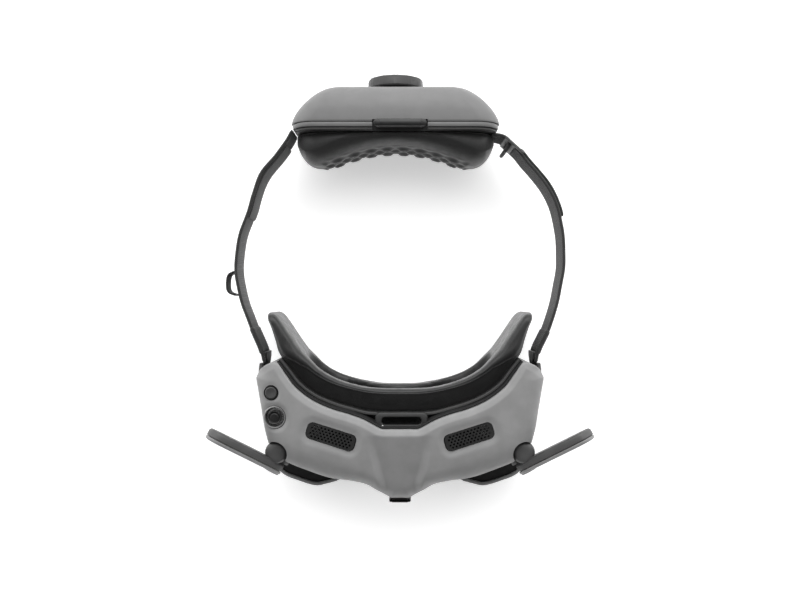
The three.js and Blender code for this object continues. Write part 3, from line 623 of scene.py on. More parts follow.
def mirrored(piece):
    """The mirror image of a piece, as a new object with its faces still pointing out."""
    copy = piece.copy()
    copy.data = piece.data.copy()
    copy.data.transform(Matrix.Scale(-1, 4, (1, 0, 0)))
    copy.data.flip_normals()
    bpy.context.scene.collection.objects.link(copy)
    return copy


def both(piece):
    return piece, mirrored(piece)


def smoothstep(edge0, edge1, value):
    t = np.clip((value - edge0) / (edge1 - edge0), 0, 1)
    return t * t * (3 - 2 * t)


# ------------------------------------------------------------------ housing

GAP = 0.3
WALL = 2.2
CROWN_Z = 74.6
RIM_Z = 58.0
LEDGE_Z = 17.5
DOCK_TOP_Z = 56.0
SIDE_PART_Z = 34.0

# From the middle to the right temple: front x, y and rear x, y of each column of the roof.
HALF_ROOF = np.array([
    [0, -120.6, 0, -79.2], [5.2, -120.6, 5, -79.2], [7.4, -119.3, 10.2, -79.1], [12.7, -115.7, 14.2, -77.2],
    [19, -112, 20, -74.2], [27, -110.2, 28, -71.3], [40, -108.4, 38, -68.5],
    [52.2, -104.5, 49.2, -63.6], [64.7, -99.6, 58.8, -56.4], [72, -95, 64.2, -49.4],
    [76.3, -84, 69.5, -42.6], [79.2, -68, 75.4, -44.2], [82, -52, 80.2, -47.6],
])
# The same for the tray that carries the roof, and the line of the recessed wall behind an antenna.
HALF_TRAY = np.array([
    [0, -117.6, 0, -98], [7.8, -117.6, 8, -98], [12, -117, 14, -98], [18, -116.4, 21, -98],
    [27, -116.4, 27, -85], [36, -117, 34, -74], [44, -119, 42, -70.4], [50.5, -120.2, 49.7, -65.6],
    [61, -117.4, 60.5, -56.5], [72, -112.2, 65.5, -50], [78.6, -99, 69.7, -43.3],
    [79.6, -72, 75.5, -45.4], [82, -52, 80, -48.6],
])
HALF_DOCK = np.array([
    [15.2, -107.6], [18.5, -107.4], [28, -106.8], [40, -105.4], [52.2, -101.5], [64.7, -96.6], [72.6, -91.6],
])
VENT = {"x": 38.4, "y": -83.6, "length": 28.0, "width": 9.2, "turn": math.radians(16.5)}
LUG_Y, LUG_Z = np.array(JOINTS["headband_tilt"]["pos_m"][1:]) / MM
LUG_X = node_box("right_temple_lug")[0][0] + 4.3


def eased(count):
    """Shares from 0 to 1, closer together near both ends."""
    return 0.5 - 0.5 * np.cos(np.linspace(0, math.pi, count))


def plan_grid(half, per_span, rows):
    """Points of a plan patch as an array [column, row, 2], from left to right, front to rear."""
    front = smooth_path(both_sides(half[:, :2]), per_span)
    rear = smooth_path(both_sides(half[:, 2:]), per_span)
    v = eased(rows)[None, :, None]
    return front[:, None, :] * (1 - v) + rear[:, None, :] * v


def inset_half(half, distance):
    """The half plan moved inwards at its front, its rear and its temple end."""
    out = half.copy()
    for columns, sign in (((0, 1), 1), ((2, 3), -1)):
        line = half[:, columns]
        moved_line = line + side_normals(line) * sign * distance
        moved_line[0, 0] = 0
        out[:, columns] = moved_line
    out[-1, 0] -= distance
    out[-1, 2] -= distance
    return out


def patch_outline(grid):
    """The four edges of a plan grid as one closed outline."""
    return np.vstack([grid[:, 0], grid[-1, 1:-1], grid[::-1, -1], grid[0, -2:0:-1]])


def outline_distance(points, outline, closed=True):
    """Distance from plan points to an outline, or to an open line."""
    flat = points.reshape(-1, 2)
    starts = outline if closed else outline[:-1]
    edges = np.roll(outline, -1, axis=0)[:len(starts)] - starts
    least = np.full(len(flat), 1e9)
    for start, e in zip(starts, edges):
        t = np.clip(((flat - start) @ e) / max(e @ e, 1e-9), 0, 1)
        least = np.minimum(least, np.hypot(*(flat - start - t[:, None] * e).T))
    return least.reshape(points.shape[:-1])


def shoulder(distance, width, power=2.2):
    """A rounded rise from 0 at an edge to 1 at a width from it."""
    t = np.clip(distance / width, 0, 1)
    return (1 - (1 - t) ** power) ** (1 / power)


def pillow(grid, upper, lower):
    """A closed solid over a plan grid, between two sets of heights."""
    columns, rows = grid.shape[:2]
    layers = [np.dstack([grid, np.broadcast_to(h, (columns, rows))]).reshape(-1, 3) for h in (upper, lower)]
    size = columns * rows
    faces = []
    for i in range(columns - 1):
        for j in range(rows - 1):
            a = i * rows + j
            top = (a, a + rows, a + rows + 1, a + 1)
            faces.append(top)
            faces.append(tuple(size + p for p in reversed(top)))
    edge = [i * rows for i in range(columns)]
    edge += [(columns - 1) * rows + j for j in range(1, rows)]
    edge += [i * rows + rows - 1 for i in range(columns - 2, -1, -1)]
    edge += [j for j in range(rows - 2, 0, -1)]
    for a, b in zip(edge, edge[1:] + edge[:1]):
        faces.append((a, size + a, size + b, b))
    return raw_object("pillow", np.vstack(layers), faces)


def vent_distance(x, y):
    """Distance outside the right vent's slot, in millimetres."""
    cos, sin = math.cos(VENT["turn"]), math.sin(VENT["turn"])
    dx, dy = x - VENT["x"], y - VENT["y"]
    along, across = dx * cos + dy * sin, -dx * sin + dy * cos
    radius = 3.2
    qx = np.abs(along) - (VENT["length"] / 2 - radius)
    qy = np.abs(across) - (VENT["width"] / 2 - radius)
    return np.hypot(np.maximum(qx, 0), np.maximum(qy, 0)) + np.minimum(np.maximum(qx, qy), 0) - radius


BEVEL = 3.9
HALF_WIDTH = 80.0
RIDGE_REAR_Y = -82.5
RIDGE_HALF = 15.5
VENT_SINK, STICK_SINK, KEY_SINK = 1.0, 0.9, 0.3
STICK_XY = node_centre("joystick_collar")[:2]
KEY_XY = node_centre("back_button")[:2]


def roof_height(grid):
    """The roof: crowned across, falling to the front, with a flat middle ridge and a bevelled rear edge."""
    x, y = np.abs(grid[..., 0]), grid[..., 1]
    front = outline_distance(grid, ROOF_FRONT, closed=False)
    rear = outline_distance(grid, ROOF_REAR, closed=False)
    forward = np.maximum(0, RIDGE_REAR_Y - y)
    ridge_half = RIDGE_HALF - 7 * np.clip(forward / 29, 0, 1)
    ridge = 1 - smoothstep(ridge_half - 1.2, ridge_half + 4.5, x)
    base = CROWN_Z - 11 * (x / HALF_WIDTH) ** 1.6
    base = base - (0.05 + 0.19 * ridge) * forward - (0.0035 - 0.0015 * ridge) * forward ** 2
    base = base - VENT_SINK * (1 - smoothstep(0, 4.5, vent_distance(x, y)))
    for spot, sink, inner, outer in ((STICK_XY, STICK_SINK, 6.4, 8.8), (KEY_XY, KEY_SINK, 4.6, 6.0)):
        away = np.hypot(grid[..., 0] - spot[0], y - spot[1])
        base = base - sink * (1 - smoothstep(inner, outer, away))
    nose = (1 - smoothstep(6, 16, x)) * smoothstep(26, 34, forward)
    rim = RIM_Z - 3 * (x / HALF_WIDTH) ** 2 - 5 * nose
    width = 9 + 4 * smoothstep(10, 50, x)
    bevel = 0.38 * np.maximum(0, BEVEL - rear) + 1.1 * (1 - shoulder(rear, 1.2))
    return rim + (base - rim) * shoulder(front, width) - bevel


ROOF_GRID = plan_grid(HALF_ROOF, 12, 60)
ROOF_FRONT = np.vstack([ROOF_GRID[0, ::-1], ROOF_GRID[1:, 0], ROOF_GRID[-1, 1:]])
ROOF_REAR = ROOF_GRID[:, -1]


def roof_at(x, y):
    return float(roof_height(np.array([[x, y]], float))[0])


def roof_room(depth, floor):
    """The space inside the housing, from a floor up to a depth below the roof."""
    grid = plan_grid(inset_half(HALF_ROOF, WALL), 4, 24)
    return pillow(grid, roof_height(grid) - depth, floor)


def dock_region(z0, z1):
    """The space in front of the recessed front wall on the right, where an antenna folds in."""
    line = smooth_path(HALF_DOCK, 6)
    plan = np.vstack([[15.2, -150], line, [76.5, -98], [110, -98], [110, -150]])
    return prism(plan, z0, z1)


def lug_notch():
    """Room beside the temple for the strap hinge, under the roof's corner."""
    return block((LUG_X - 4.6, LUG_X + 8), (LUG_Y - 8, 0), (LUG_Z - 14, LUG_Z + 17))


def hinge_line():
    """Point and forward direction of the right antenna's pivot."""
    joint = JOINTS["right_antenna_fold"]
    return np.array(joint["pos_m"], float) / MM, np.array(joint["axis"], float)


HOLE_R, TOP_HOLE_R = 7.3, 6.8


def barrel_top():
    """Centre, in plan, of the domed top of the right antenna's barrel."""
    centre, forward = hinge_line()
    return (centre - forward * 9.6)[:2] + [0.8, 0.6]


def knuckle_hole():
    """Room for an antenna's barrel in the housing, open above for its domed top."""
    centre, forward = hinge_line()
    hole = turned("hole", centre, forward, [(HOLE_R, -16), (HOLE_R, 4)], 40)
    return join(hole, prism(moved(circle(TOP_HOLE_R), *barrel_top()), centre[2] - 5, 90))


def build_barrel_sockets():
    """A wall round each antenna's barrel, so that the housing's inside doesn't show beside it."""
    centre, forward = hinge_line()
    socket = turned("right_antenna_socket", centre, forward, [(9.2, -17.5), (9.2, 4)], 48)
    join(socket, prism(moved(circle(8.4), *barrel_top()), centre[2] - 5, 90))
    boolean(socket, "INTERSECT", roof_room(WALL + 0.1, LEDGE_Z))
    cut(socket, dock_region(0, DOCK_TOP_Z), knuckle_hole())
    dress_pair(socket, "{}_antenna_socket", "goggles", "dark")


def build_top_shell():
    """The grey roof and its sides: hollow, open behind for the face, with room for what passes through."""
    shell = pillow(ROOF_GRID, roof_height(ROOF_GRID), LEDGE_Z + GAP)
    shell.name = "top_shell_skin"
    vent_plan = rounded_rect(VENT["length"] + 0.6, VENT["width"] + 0.6, 3.3)
    vent = prism(moved(vent_plan, VENT["x"], VENT["y"], VENT["turn"]), 40, 90)
    cut(
        shell, roof_room(WALL, LEDGE_Z - 5),
        *both(dock_region(0, DOCK_TOP_Z)), *both(lug_notch()), *both(vent), *both(knuckle_hole()),
        block((-90, 90), (-106, -30), (0, SIDE_PART_Z)), block((-58, 58), (-90, -30), (0, DOCK_TOP_Z)),
        prism(moved(circle(4.4), *KEY_XY), 50, 90), prism(moved(circle(6.6), *STICK_XY), 50, 90),
    )
    dress(shell, "goggles", "shell", ["top_shell"])


def build_bottom_shell():
    """The tray with its front lip, and the two cheeks under the temples."""
    grid = plan_grid(HALF_TRAY, 8, 30)
    tray = pillow(grid, LEDGE_Z, 8 * (1 - shoulder(outline_distance(grid, patch_outline(grid)), 9)))
    tray.name = "bottom_shell_skin"
    cheeks = pillow(plan_grid(HALF_ROOF, 12, 12), SIDE_PART_Z - GAP, LEDGE_Z - 8)
    cut(cheeks, block((-62, 62), (-150, 0), (0, 60)), *both(dock_region(0, 60)))
    front = smooth_path(HALF_TRAY[:, :2], 12)
    front = front[(front[:, 0] > 38) & (front[:, 1] < -90)]
    lip = lip_strip(front)
    join(tray, cheeks, *both(lip))

    inner = plan_grid(inset_half(HALF_TRAY, WALL), 4, 20)
    inner_floor = WALL + 6 * (1 - shoulder(outline_distance(inner, patch_outline(inner)), 8))
    tray_room = pillow(inner, LEDGE_Z - WALL, inner_floor)
    cheek_room = pillow(plan_grid(inset_half(HALF_ROOF, WALL), 4, 12), LEDGE_Z + 30, LEDGE_Z - 2 * WALL)
    cut(cheek_room, block((-90, 90), (-140, -113), (0, 90)))
    eye = node_centre("right_diopter_knob")
    knob = prism(moved(rounded_rect(23, 14, 6.9), eye[0], eye[1]), -5, 15)
    port = node_centre("data_port")
    port_plan = rounded_rect(9.8, 4.4, 2.1)
    port_rings = [[(x, port[1] + a, port[2] + b) for a, b in port_plan] for x in (68, 92)]
    cut(
        tray, tray_room, cheek_room, block((-40, 40), (-98.4, -70), (14.8, 40)), *both(lug_notch()),
        *both(knob), raw_object("port", *loft(port_rings)), *both(knuckle_hole()),
    )
    dress(tray, "goggles", "shell", ["bottom_shell"])


def lip_strip(line, width=1.9, height=3.4):
    """The upstanding lip along the tray's front edge, rounded on top."""
    half_section = [(0, -1), (0, height - 0.5), (0.4, height)]
    section = half_section + [(width - across, up) for across, up in half_section[::-1]]
    rings = []
    for p, n in zip(line, side_normals(line)):
        rings.append([(*(p + n * inward), LEDGE_Z + z) for inward, z in section])
    return raw_object("lip", *loft(rings))


def build_dock_panels():
    """The dark wall and shelf on each side of the nose, near-black: their dark plastic with the shade of the
    recess under the roof painted in.
    """
    front = smooth_path(HALF_ROOF[:, :2], 10)
    front = front[(front[:, 0] > 15.4) & (front[:, 0] < 72.4)]
    tray_line = smooth_path(HALF_TRAY[:, :2], 12)
    rings = []
    for x, y in front:
        tray = np.interp(x, tray_line[:, 0], tray_line[:, 1]) + 1.9
        profile = rounded([
            (y + 1, DOCK_TOP_Z - GAP), (y - 4.2, LEDGE_Z + 3), (tray, LEDGE_Z + 1.6), (tray, LEDGE_Z + GAP),
            (y - 2, LEDGE_Z + GAP), (y + 2.4, DOCK_TOP_Z - GAP),
        ], 3.0, 5)
        rings.append([(x, py, pz) for py, pz in profile])
    panel = raw_object("right_dock_panel_skin", *loft(rings))
    cut(panel, knuckle_hole())
    # Near-black finish: the panel's dark plastic with painted shade of its recess.
    dress_pair(panel, "{}_dock_panel_skin", "goggles", "black_and_shade", "{}_dock_panel")


def build_nose_window():
    """The dark window at the nose, wider behind than in front."""
    lo, hi = node_box("nose_window")
    rings = []
    levels = [
        (lo[2], 0.8), (lo[2] + 0.8, 0), (hi[2] - 2.2, 0), (hi[2] - 1, 0.25), (hi[2] - 0.3, 0.9), (hi[2], 2.0),
    ]
    for z, inset in levels:
        front = lo[1] + 1.6 + inset
        half = [(hi[0], hi[1]), (hi[0] - 0.3, hi[1] - 1), (hi[0] - 1.0, front + 0.7), (hi[0] - 1.8, front)]
        plan = [(-x, y) for x, y in half] + half[::-1]
        rings.append(flat_ring(plan, z))
    dress(raw_object("nose_window_lens", *loft(rings)), "goggles", "black", ["nose_window"])


def build_vent_meshes():
    """A perforated plate in each vent, with staggered rows of small round holes."""
    plate = prism(rounded_rect(VENT["length"], VENT["width"], 3.1), -0.6, 0.6)
    pitch, hole_r = 2.1, 0.62
    for row in range(-2, 3):
        for column in range(-6, 7):
            x = (column + 0.5 * (row % 2)) * pitch
            y = row * pitch * 0.72
            if abs(x) < VENT["length"] / 2 - 1.6 and abs(y) < VENT["width"] / 2 - 0.8:
                cut(plate, prism(moved(circle(hole_r, 8), x, y), -2, 2))
    tilt = math.atan2(roof_at(VENT["x"] - 8, VENT["y"]) - roof_at(VENT["x"] + 8, VENT["y"]), 16)
    height = roof_at(VENT["x"], VENT["y"]) * MM
    place = Matrix.Translation((VENT["x"] * MM, VENT["y"] * MM, height - 0.9 * MM))
    plate.data.transform(place @ Matrix.Rotation(VENT["turn"], 4, "Z") @ Matrix.Rotation(tilt, 4, "Y"))
    dress_pair(plate, "{}_vent_grille", "goggles", "black", "{}_vent_mesh")


def slotted_bar(name, centre, outer, slot, thick, upright, body, replaces, finish="dark"):
    """A rounded bar with a slot for a strap, lying flat or standing across Y."""
    def place(plan, level):
        if upright:
            return [(centre[0] + a, centre[1] + level, centre[2] + b) for a, b in plan]
        return [(centre[0] + a, centre[1] + b, centre[2] + level) for a, b in plan]

    def slab(label, size, edge):
        """A rounded slab; edge pairs a depth below either face with how far the outline grows there."""
        lower = [(depth - thick / 2, grow) for depth, grow in edge]
        upper = [(-level, grow) for level, grow in lower[::-1]]
        width, height, radius = size
        rings = []
        for level, grow in lower + upper:
            rings.append(place(rounded_rect(width + 2 * grow, height + 2 * grow, radius + grow), level))
        return raw_object(label, *loft(rings))

    bar = slab(name, outer, ((0, -0.9), (0.25, -0.3), (0.8, 0)))
    cut(bar, slab("slot", slot, ((-1, 0.6), (0, 0.5), (0.6, 0))))
    return dress(bar, body, finish, replaces)


def pin_head(name, centre, direction, radius, body, finish="steel"):
    """A low domed head of a pin or rivet."""
    profile = rounded([(0, 0), (radius, 0), (radius, 0.5), (radius * 0.7, 0.85), (0, 0.95)], 0.3)
    pin = turned(name, centre, direction, profile, 32)
    return dress(pin, body, finish)


def build_front_loop():
    """The loop at the rear of the roof for an overhead strap."""
    lo, hi = node_box("front_strap_loop")
    centre = node_centre("front_strap_loop") + [0, 0.9, 0]
    size = hi - lo
    slotted_bar(
        "front_strap_loop_bar", centre, (size[0], size[1] - 1.8, 3.0), (22.2, 4.2, 1.8), size[2], False,
        "goggles", ["front_strap_loop"],
    )
    for sign, side in ((-1, "left"), (1, "right")):
        spot = centre + [sign * 10.6, -2.6, size[2] / 2 - 0.3]
        pin_head(f"{side}_front_loop_rivet", spot, (0, 0, 1), 0.55, "goggles")


# ------------------------------------------------------------------ controls on the left temple


def turned_piece(name, centre, profile, body, finish, replaces=(), steps=64):
    """A profile turned about an upright line, dressed as a piece; ends that meet make it a ring."""
    made = turned(name, centre, (0, 0, 1), profile, steps)
    if np.allclose(profile[0], profile[-1]):
        close_ring(made)
    return dress(made, body, finish, replaces)


def build_controls():
    """Joystick, its collar and dish, and the back button in its rim."""
    centre = [*STICK_XY, 0]
    top = node_box("joystick_collar")[1][2] - 0.9
    turned_piece("joystick_collar_ring", centre, rounded([
        (5.3, top - 6.4), (6.4, top - 6.4), (6.4, top - 0.7), (6.0, top), (5.6, top), (5.3, top - 0.8),
        (5.3, top - 6.4),
    ], 0.35), "goggles", "shell", ["joystick_collar"])
    top = node_box("joystick_cap")[1][2]
    turned_piece("joystick_cap_dish", centre, rounded([
        (0, top - 2.2), (1.5, top - 2.2), (1.5, top - 4.4), (2.6, top - 4.4), (2.6, top - 2.6),
        (3.8, top - 2.6), (4.1, top - 1.1), (3.8, top - 0.1), (3.3, top - 0.2), (2.8, top - 0.9),
        (0, top - 1.0),
    ], 0.3), "stick_cap", "black", ["joystick_cap"])
    turned_piece("joystick_cap_pad", centre, rounded([
        (0, top - 1.3), (2.5, top - 1.3), (2.5, top - 0.6), (2.1, top - 0.3), (0, top - 0.35),
    ], 0.2), "stick_cap", "black", steps=48)
    for k in range(4):
        angle = math.pi / 4 + k * math.pi / 2
        spot = np.array(centre) + [3.6 * math.cos(angle), 3.6 * math.sin(angle), top - 0.35]
        profile = rounded([(0, 0), (0.42, 0), (0.34, 0.5), (0, 0.6)], 0.15)
        turned_piece(f"joystick_nub_{k + 1}", spot, profile, "stick_cap", "key", steps=16)

    centre = [*KEY_XY, 0]
    top = node_box("back_button")[1][2]
    turned_piece("back_button_cap", centre, rounded([
        (0, top - 5.8), (3.5, top - 5.8), (3.5, top - 0.7), (3.0, top), (2.3, top - 0.15), (0, top - 0.5),
    ], 0.5), "back_key", "key", ["back_button"])
    turned_piece("back_button_rim", centre, rounded([
        (3.7, top - 3.0), (4.3, top - 3.0), (4.3, top - 1.3), (4.1, top - 0.9), (3.8, top - 1.0),
        (3.7, top - 3.0),
    ], 0.15), "goggles", "black")


def close_ring(piece):
    """Joins the two ends of a turned loop, whose end caps are dropped."""
    bm = bmesh.new()
    bm.from_mesh(piece.data)
    caps = [face for face in bm.faces if len(face.verts) > 8]
    bmesh.ops.delete(bm, geom=caps, context="FACES_ONLY")
    bmesh.ops.remove_doubles(bm, verts=bm.verts, dist=1e-6)
    bmesh.ops.recalc_face_normals(bm, faces=bm.faces)
    bm.to_mesh(piece.data)
    bm.free()


# ------------------------------------------------------------------ face seal

# Columns of the cushion from the middle to the right: plan points on its shell side and its face side.
HALF_CUSHION = np.array([
    [0, -71.4, 0, -58.5], [14, -71.2, 12, -58.2], [20.5, -70.4, 19.5, -57.4], [28.6, -68.6, 26.5, -55.9],
    [36.5, -66.2, 33.3, -53.9], [43.8, -63.6, 40, -51], [50.5, -59.9, 46.6, -46.8],
    [58.8, -52.6, 52, -41.6], [64.6, -45.6, 57.2, -36.5], [70.4, -37.8, 61.6, -30],
    [72.2, -31, 64.6, -25.4], [74.5, -23.6, 68.3, -19.8], [76.7, -18.4, 71.4, -16],
    [76.6, -15.4, 74.3, -14.4],
])
# Front edge of the raised rim between the cushion and the roof, from the middle to the right.
RIM_FRONT = np.array([
    [0, -73.6], [14, -73.4], [20, -72.8], [28, -70.7], [37.7, -67.8],
    [48.8, -62.9], [58.2, -55.8], [63.5, -49.0], [69, -41.9],
])
ARCH_Z = -2.0
ARCH_R = 18.0
EYE_X, EYE_Z = 32.0, 34.0


def band_outline(front, back):
    """A closed plan outline from a front edge and a back edge, both given on the right from the middle."""
    front_line = smooth_path(both_sides(front), 8)
    back_line = smooth_path(both_sides(back), 8)
    return np.vstack([front_line, back_line[::-1]])


def stepped(line, distance):
    """A half line moved towards the face by a distance."""
    out = np.asarray(line, float) + side_normals(line) * distance
    out[0, 0] = 0
    return out


def eye_hole(half, margin, y0, y1):
    """The opening in front of an eye, with rounded corners."""
    corners = np.array(half, float)
    away = corners - [EYE_X, EYE_Z]
    corners += away / np.linalg.norm(away, axis=1)[:, None] * margin
    return y_prism(rounded_loop(corners, 7, 6), y0, y1)


def nose_arch(radius, y0, y1):
    """A cylinder along Y that clears the nose."""
    return turned("arch", (0, y0, ARCH_Z), (0, 1, 0), [(radius, 0), (radius, y1 - y0)], 64)


EYE_OPENING = [[9, 48], [9, 30], [24, 14], [49, 14], [55, 20], [55, 48]]


def build_face_seal_frame():
    """The plate behind the cushion, its raised rim, and a near-black strip between the rim and the roof,
    painted shadow for the gap there.
    """
    rim_top = node_box("face_seal_frame")[1][2]
    roof_edge = HALF_ROOF[:11, 2:]
    back = stepped(RIM_FRONT, 2.1)
    plate = prism(band_outline(stepped(roof_edge, 0.3), back), 2.5, rim_top - 5.5)
    plate.name = "face_seal_plate"
    cut(plate, *both(eye_hole(EYE_OPENING, 1, -100, -20)), nose_arch(ARCH_R, -120, 0))
    vault = nose_arch(ARCH_R + 1.7, -97.4, -75)
    cut(vault, nose_arch(ARCH_R, -120, 0), block((-40, 40), (-120, 0), (-40, 2.5)))
    join(plate, vault)
    dress(plate, "goggles", "black_and_shade", ["face_seal_frame"])

    front_line = smooth_path(both_sides(RIM_FRONT), 8)
    back_line = smooth_path(both_sides(stepped(RIM_FRONT, 1.9)), 8)
    rings = []
    for a, b in zip(front_line, back_line):
        across = (b - a) / np.linalg.norm(b - a)
        section = [(0, -13), (0, -0.5), (0.5, 0), (1.3, -0.1), (1.9, -0.7), (1.9, -13)]
        rings.append([(*(a + across * t), rim_top + z) for t, z in section])
    dress(raw_object("face_seal_rim", *loft(rings)), "goggles", "dark")

    # A near-black strip along the roof's rear edge: painted shadow standing in for the shaded gap between the
    # roof and the rim.
    edge = smooth_path(both_sides(roof_edge), 8)
    inner = smooth_path(both_sides(stepped(roof_edge, 0.85)), 8)
    foot = rim_top - 13
    rings = []
    for a, b in zip(edge, inner):
        start = a + (b - a) * 0.3
        top = roof_at(*a) - 0.5
        rings.append([(*start, foot), (*start, top), (*b, top), (*b, foot)])
    dress(raw_object("face_seal_shadow_strip", *loft(rings)), "goggles", "black_and_shade")


def inflate(piece, pressure, cap, frames=14):
    """Swells a closed mesh as cloth under pressure, with each point held within cap millimetres."""
    start = np.array([v.co for v in piece.data.vertices])
    cloth = piece.modifiers.new("cloth", "CLOTH")
    settings = cloth.settings
    settings.quality = 5
    settings.mass = 0.3
    settings.tension_stiffness = 12.0
    settings.compression_stiffness = 12.0
    settings.bending_stiffness = 0.6
    settings.use_pressure = True
    settings.uniform_pressure_force = pressure
    settings.effector_weights.gravity = 0.0
    cloth.collision_settings.use_collision = False
    scene = bpy.context.scene
    for number in range(1, frames + 1):
        scene.frame_set(number)
    graph = bpy.context.evaluated_depsgraph_get()
    swollen = piece.evaluated_get(graph).to_mesh()
    end = np.array([v.co for v in swollen.vertices])
    piece.modifiers.remove(cloth)
    scene.frame_set(1)
    shift = end - start
    length = np.linalg.norm(shift, axis=1)
    keep = np.minimum(1.0, cap * MM / np.maximum(length, 1e-9))
    piece.data.vertices.foreach_set("co", (start + shift * keep[:, None]).ravel())
    piece.data.update()


def remesh(piece, voxel, smooth_times):
    """Rebuilds a mesh from voxels of a size in millimetres, then smooths it."""
    step = piece.modifiers.new("remesh", "REMESH")
    step.mode = "VOXEL"
    step.voxel_size = voxel * MM
    step.adaptivity = 0.0
    smooth = piece.modifiers.new("smooth", "SMOOTH")
    smooth.iterations = smooth_times
    smooth.factor = 0.5
    bake_modifiers(piece)


# The one opening for both eyes, on the right from its top corner to the middle: x and z.
CUSHION_OPENING = np.array([[55, 48], [55, 21], [48, 14], [27, 13.5], [14, 24], [0, 27]])
# Where the seam lies between the shell side (0) and the face side (1), by distance from the middle.
SEAM_SHARE = [[0, 31, 50, 57, 63, 68, 71, 72.5], [0.80, 0.80, 0.76, 0.70, 0.50, 0.24, 0.04, -0.2]]


def cushion_top(x, share, seam, shell_edge, face_edge):
    """Height of the cushion's top: a facet rising from the shell side to a seam, then a creased roll."""
    arm = smoothstep(28, 62, np.abs(x))
    low = 52.2 - 0.6 * arm - 3.4 * smoothstep(55, 68, np.abs(x))
    facet = low + (56.2 - low) * np.clip(share / np.maximum(seam, 0.3), 0, 1) ** 0.8
    roll = np.clip((share - seam) / (1 - seam), 0, 1)
    crest = facet + 1.6 * np.sin(np.clip(roll * 1.5, 0, 1) * math.pi / 2)
    crest = crest + 1.0 * arm * np.sin(roll * math.pi)
    crest = crest - 1.1 * np.exp(-((roll - 0.62) / 0.10) ** 2) * smoothstep(40, 58, np.abs(x))
    round_off = 5.0 * (1 - shoulder(face_edge, 3.0))
    return crest - round_off - 5.0 * (1 - shoulder(shell_edge, 4.4)) * smoothstep(66, 72, np.abs(x))


def build_face_cushion():
    """One soft ring round both eyes, rolled at its face side and open over the nose."""
    rows = 34
    grid = plan_grid(HALF_CUSHION, 8, rows)
    share = eased(rows)[None, :]
    seam = np.interp(np.abs(grid[:, 0, 0]), *SEAM_SHARE)[:, None]
    face_edge = outline_distance(grid, grid[:, -1], closed=False)
    shell_edge = outline_distance(grid, grid[:, 0], closed=False)
    ends = np.minimum(*[outline_distance(grid, grid[end], closed=False) for end in (0, -1)])
    end_drop = 9 * (1 - shoulder(ends, 7))
    low = 3.4 + 7 * (1 - shoulder(np.minimum(face_edge, ends), 7))
    top = cushion_top(grid[..., 0], share, seam, shell_edge, face_edge) - end_drop
    cushion = pillow(grid, top, low)
    cushion.name = "face_cushion_pad"
    ring = np.vstack([CUSHION_OPENING, CUSHION_OPENING[:-1][::-1] * [-1, 1]])
    ring = rounded_loop(ring, 8, 6)
    cut(cushion, y_prism(ring, -100, 20), nose_arch(ARCH_R + 0.5, -120, 20))
    remesh(cushion, 1.15, 4)
    inflate(cushion, 3.0, 0.9)
    dress(cushion, "goggles", "seal", ["face_cushion"], sharp=0)
    build_cushion_piping(cushion, grid)


PIPING_R = 0.34


def build_cushion_piping(cushion, grid):
    """A thin cord along the seam of each side, half sunk in the cushion's top."""
    tree = bvh_of(cushion)
    half = grid[len(grid) // 2:]
    share = eased(grid.shape[1])
    path = []
    for column in half:
        seam = np.interp(abs(column[0, 0]), *SEAM_SHARE)
        if seam > 0.02:
            x = np.interp(seam, share, column[:, 0])
            y = np.interp(seam, share, column[:, 1])
            hit = tree.ray_cast(Vector((x, y, 100)) * MM, Vector((0, 0, -1)))[0]
            if hit:
                path.append((x, y, hit.z / MM - 0.12))
    path = smooth_path(np.array(path)[::3], 6)
    rings = []
    for k, spot in enumerate(path):
        direction = path[min(k + 1, len(path) - 1)] - path[max(k - 1, 0)]
        _, side, up = perpendiculars(direction)
        rings.append([spot + side * a + up * b for a, b in circle(PIPING_R, 8)])
    cord = raw_object("right_cushion_piping", *loft(rings))
    dress_pair(cord, "{}_cushion_piping", "goggles", "seal")


def bvh_of(piece):
    """A search tree over a mesh, for casting rays at it."""
    mesh = piece.data
    return BVHTree.FromPolygons([v.co for v in mesh.vertices], [tuple(p.vertices) for p in mesh.polygons])


# ------------------------------------------------------------------ optics


LENS_R = 13.5


def build_optics():
    """Each eye's lens barrel, with a grip ring near its end, and its lens, curved on both sides."""
    for side in ("left", "right"):
        centre = node_centre(f"{side}_lens_barrel")
        y1 = node_box(f"{side}_lens_barrel")[1][1] - centre[1]
        y0 = -y1
        barrel = turned(f"{side}_lens_barrel_tube", centre, (0, 1, 0), rounded([
            (14.0, y0), (15.5, y0), (15.5, y1 - 5), (15.1, y1 - 4.6), (15.1, y1 - 3.8), (15.5, y1 - 3.4),
            (15.5, y1 - 0.5), (14.9, y1), (14.1, y1 - 0.5), (14.0, y1 - 2), (14.0, y0),
        ], 0.3))
        close_ring(barrel)
        dress(barrel, f"{side}_lens", "black", [f"{side}_lens_barrel"])
        lo, hi = node_box(f"{side}_eye_lens")
        middle = [centre[0], lo[1], centre[2]]
        depth = hi[1] - lo[1]
        radii = np.linspace(0, LENS_R, 12)
        back = [(r, 1.6 * (r / LENS_R) ** 2) for r in radii]
        front = [(r, depth - 1.3 * (r / LENS_R) ** 2) for r in radii[::-1]]
        lens = turned(f"{side}_eye_lens_glass", middle, (0, 1, 0), back + front)
        dress(lens, f"{side}_lens", "glass", [f"{side}_eye_lens"], sharp=50)


# ------------------------------------------------------------------ antennas

# Blade outline in its own plane: along the blade, then across it. The pivot is at 0, 0.
BLADE = np.array([
    [-3.4, 0], [-2.4, 6.0], [3, 9.2], [15, 10], [30, 8.8], [42, 7.4], [47.6, 4.6],
    [49.2, -0.6], [47.4, -5.8], [42, -8.2], [28, -9], [12, -9.6], [2, -9], [-2.6, -5.4],
])
BLADE_RISE = math.radians(40)
BLADE_TURN = math.radians(6.0)
BLADE_T = 6.5


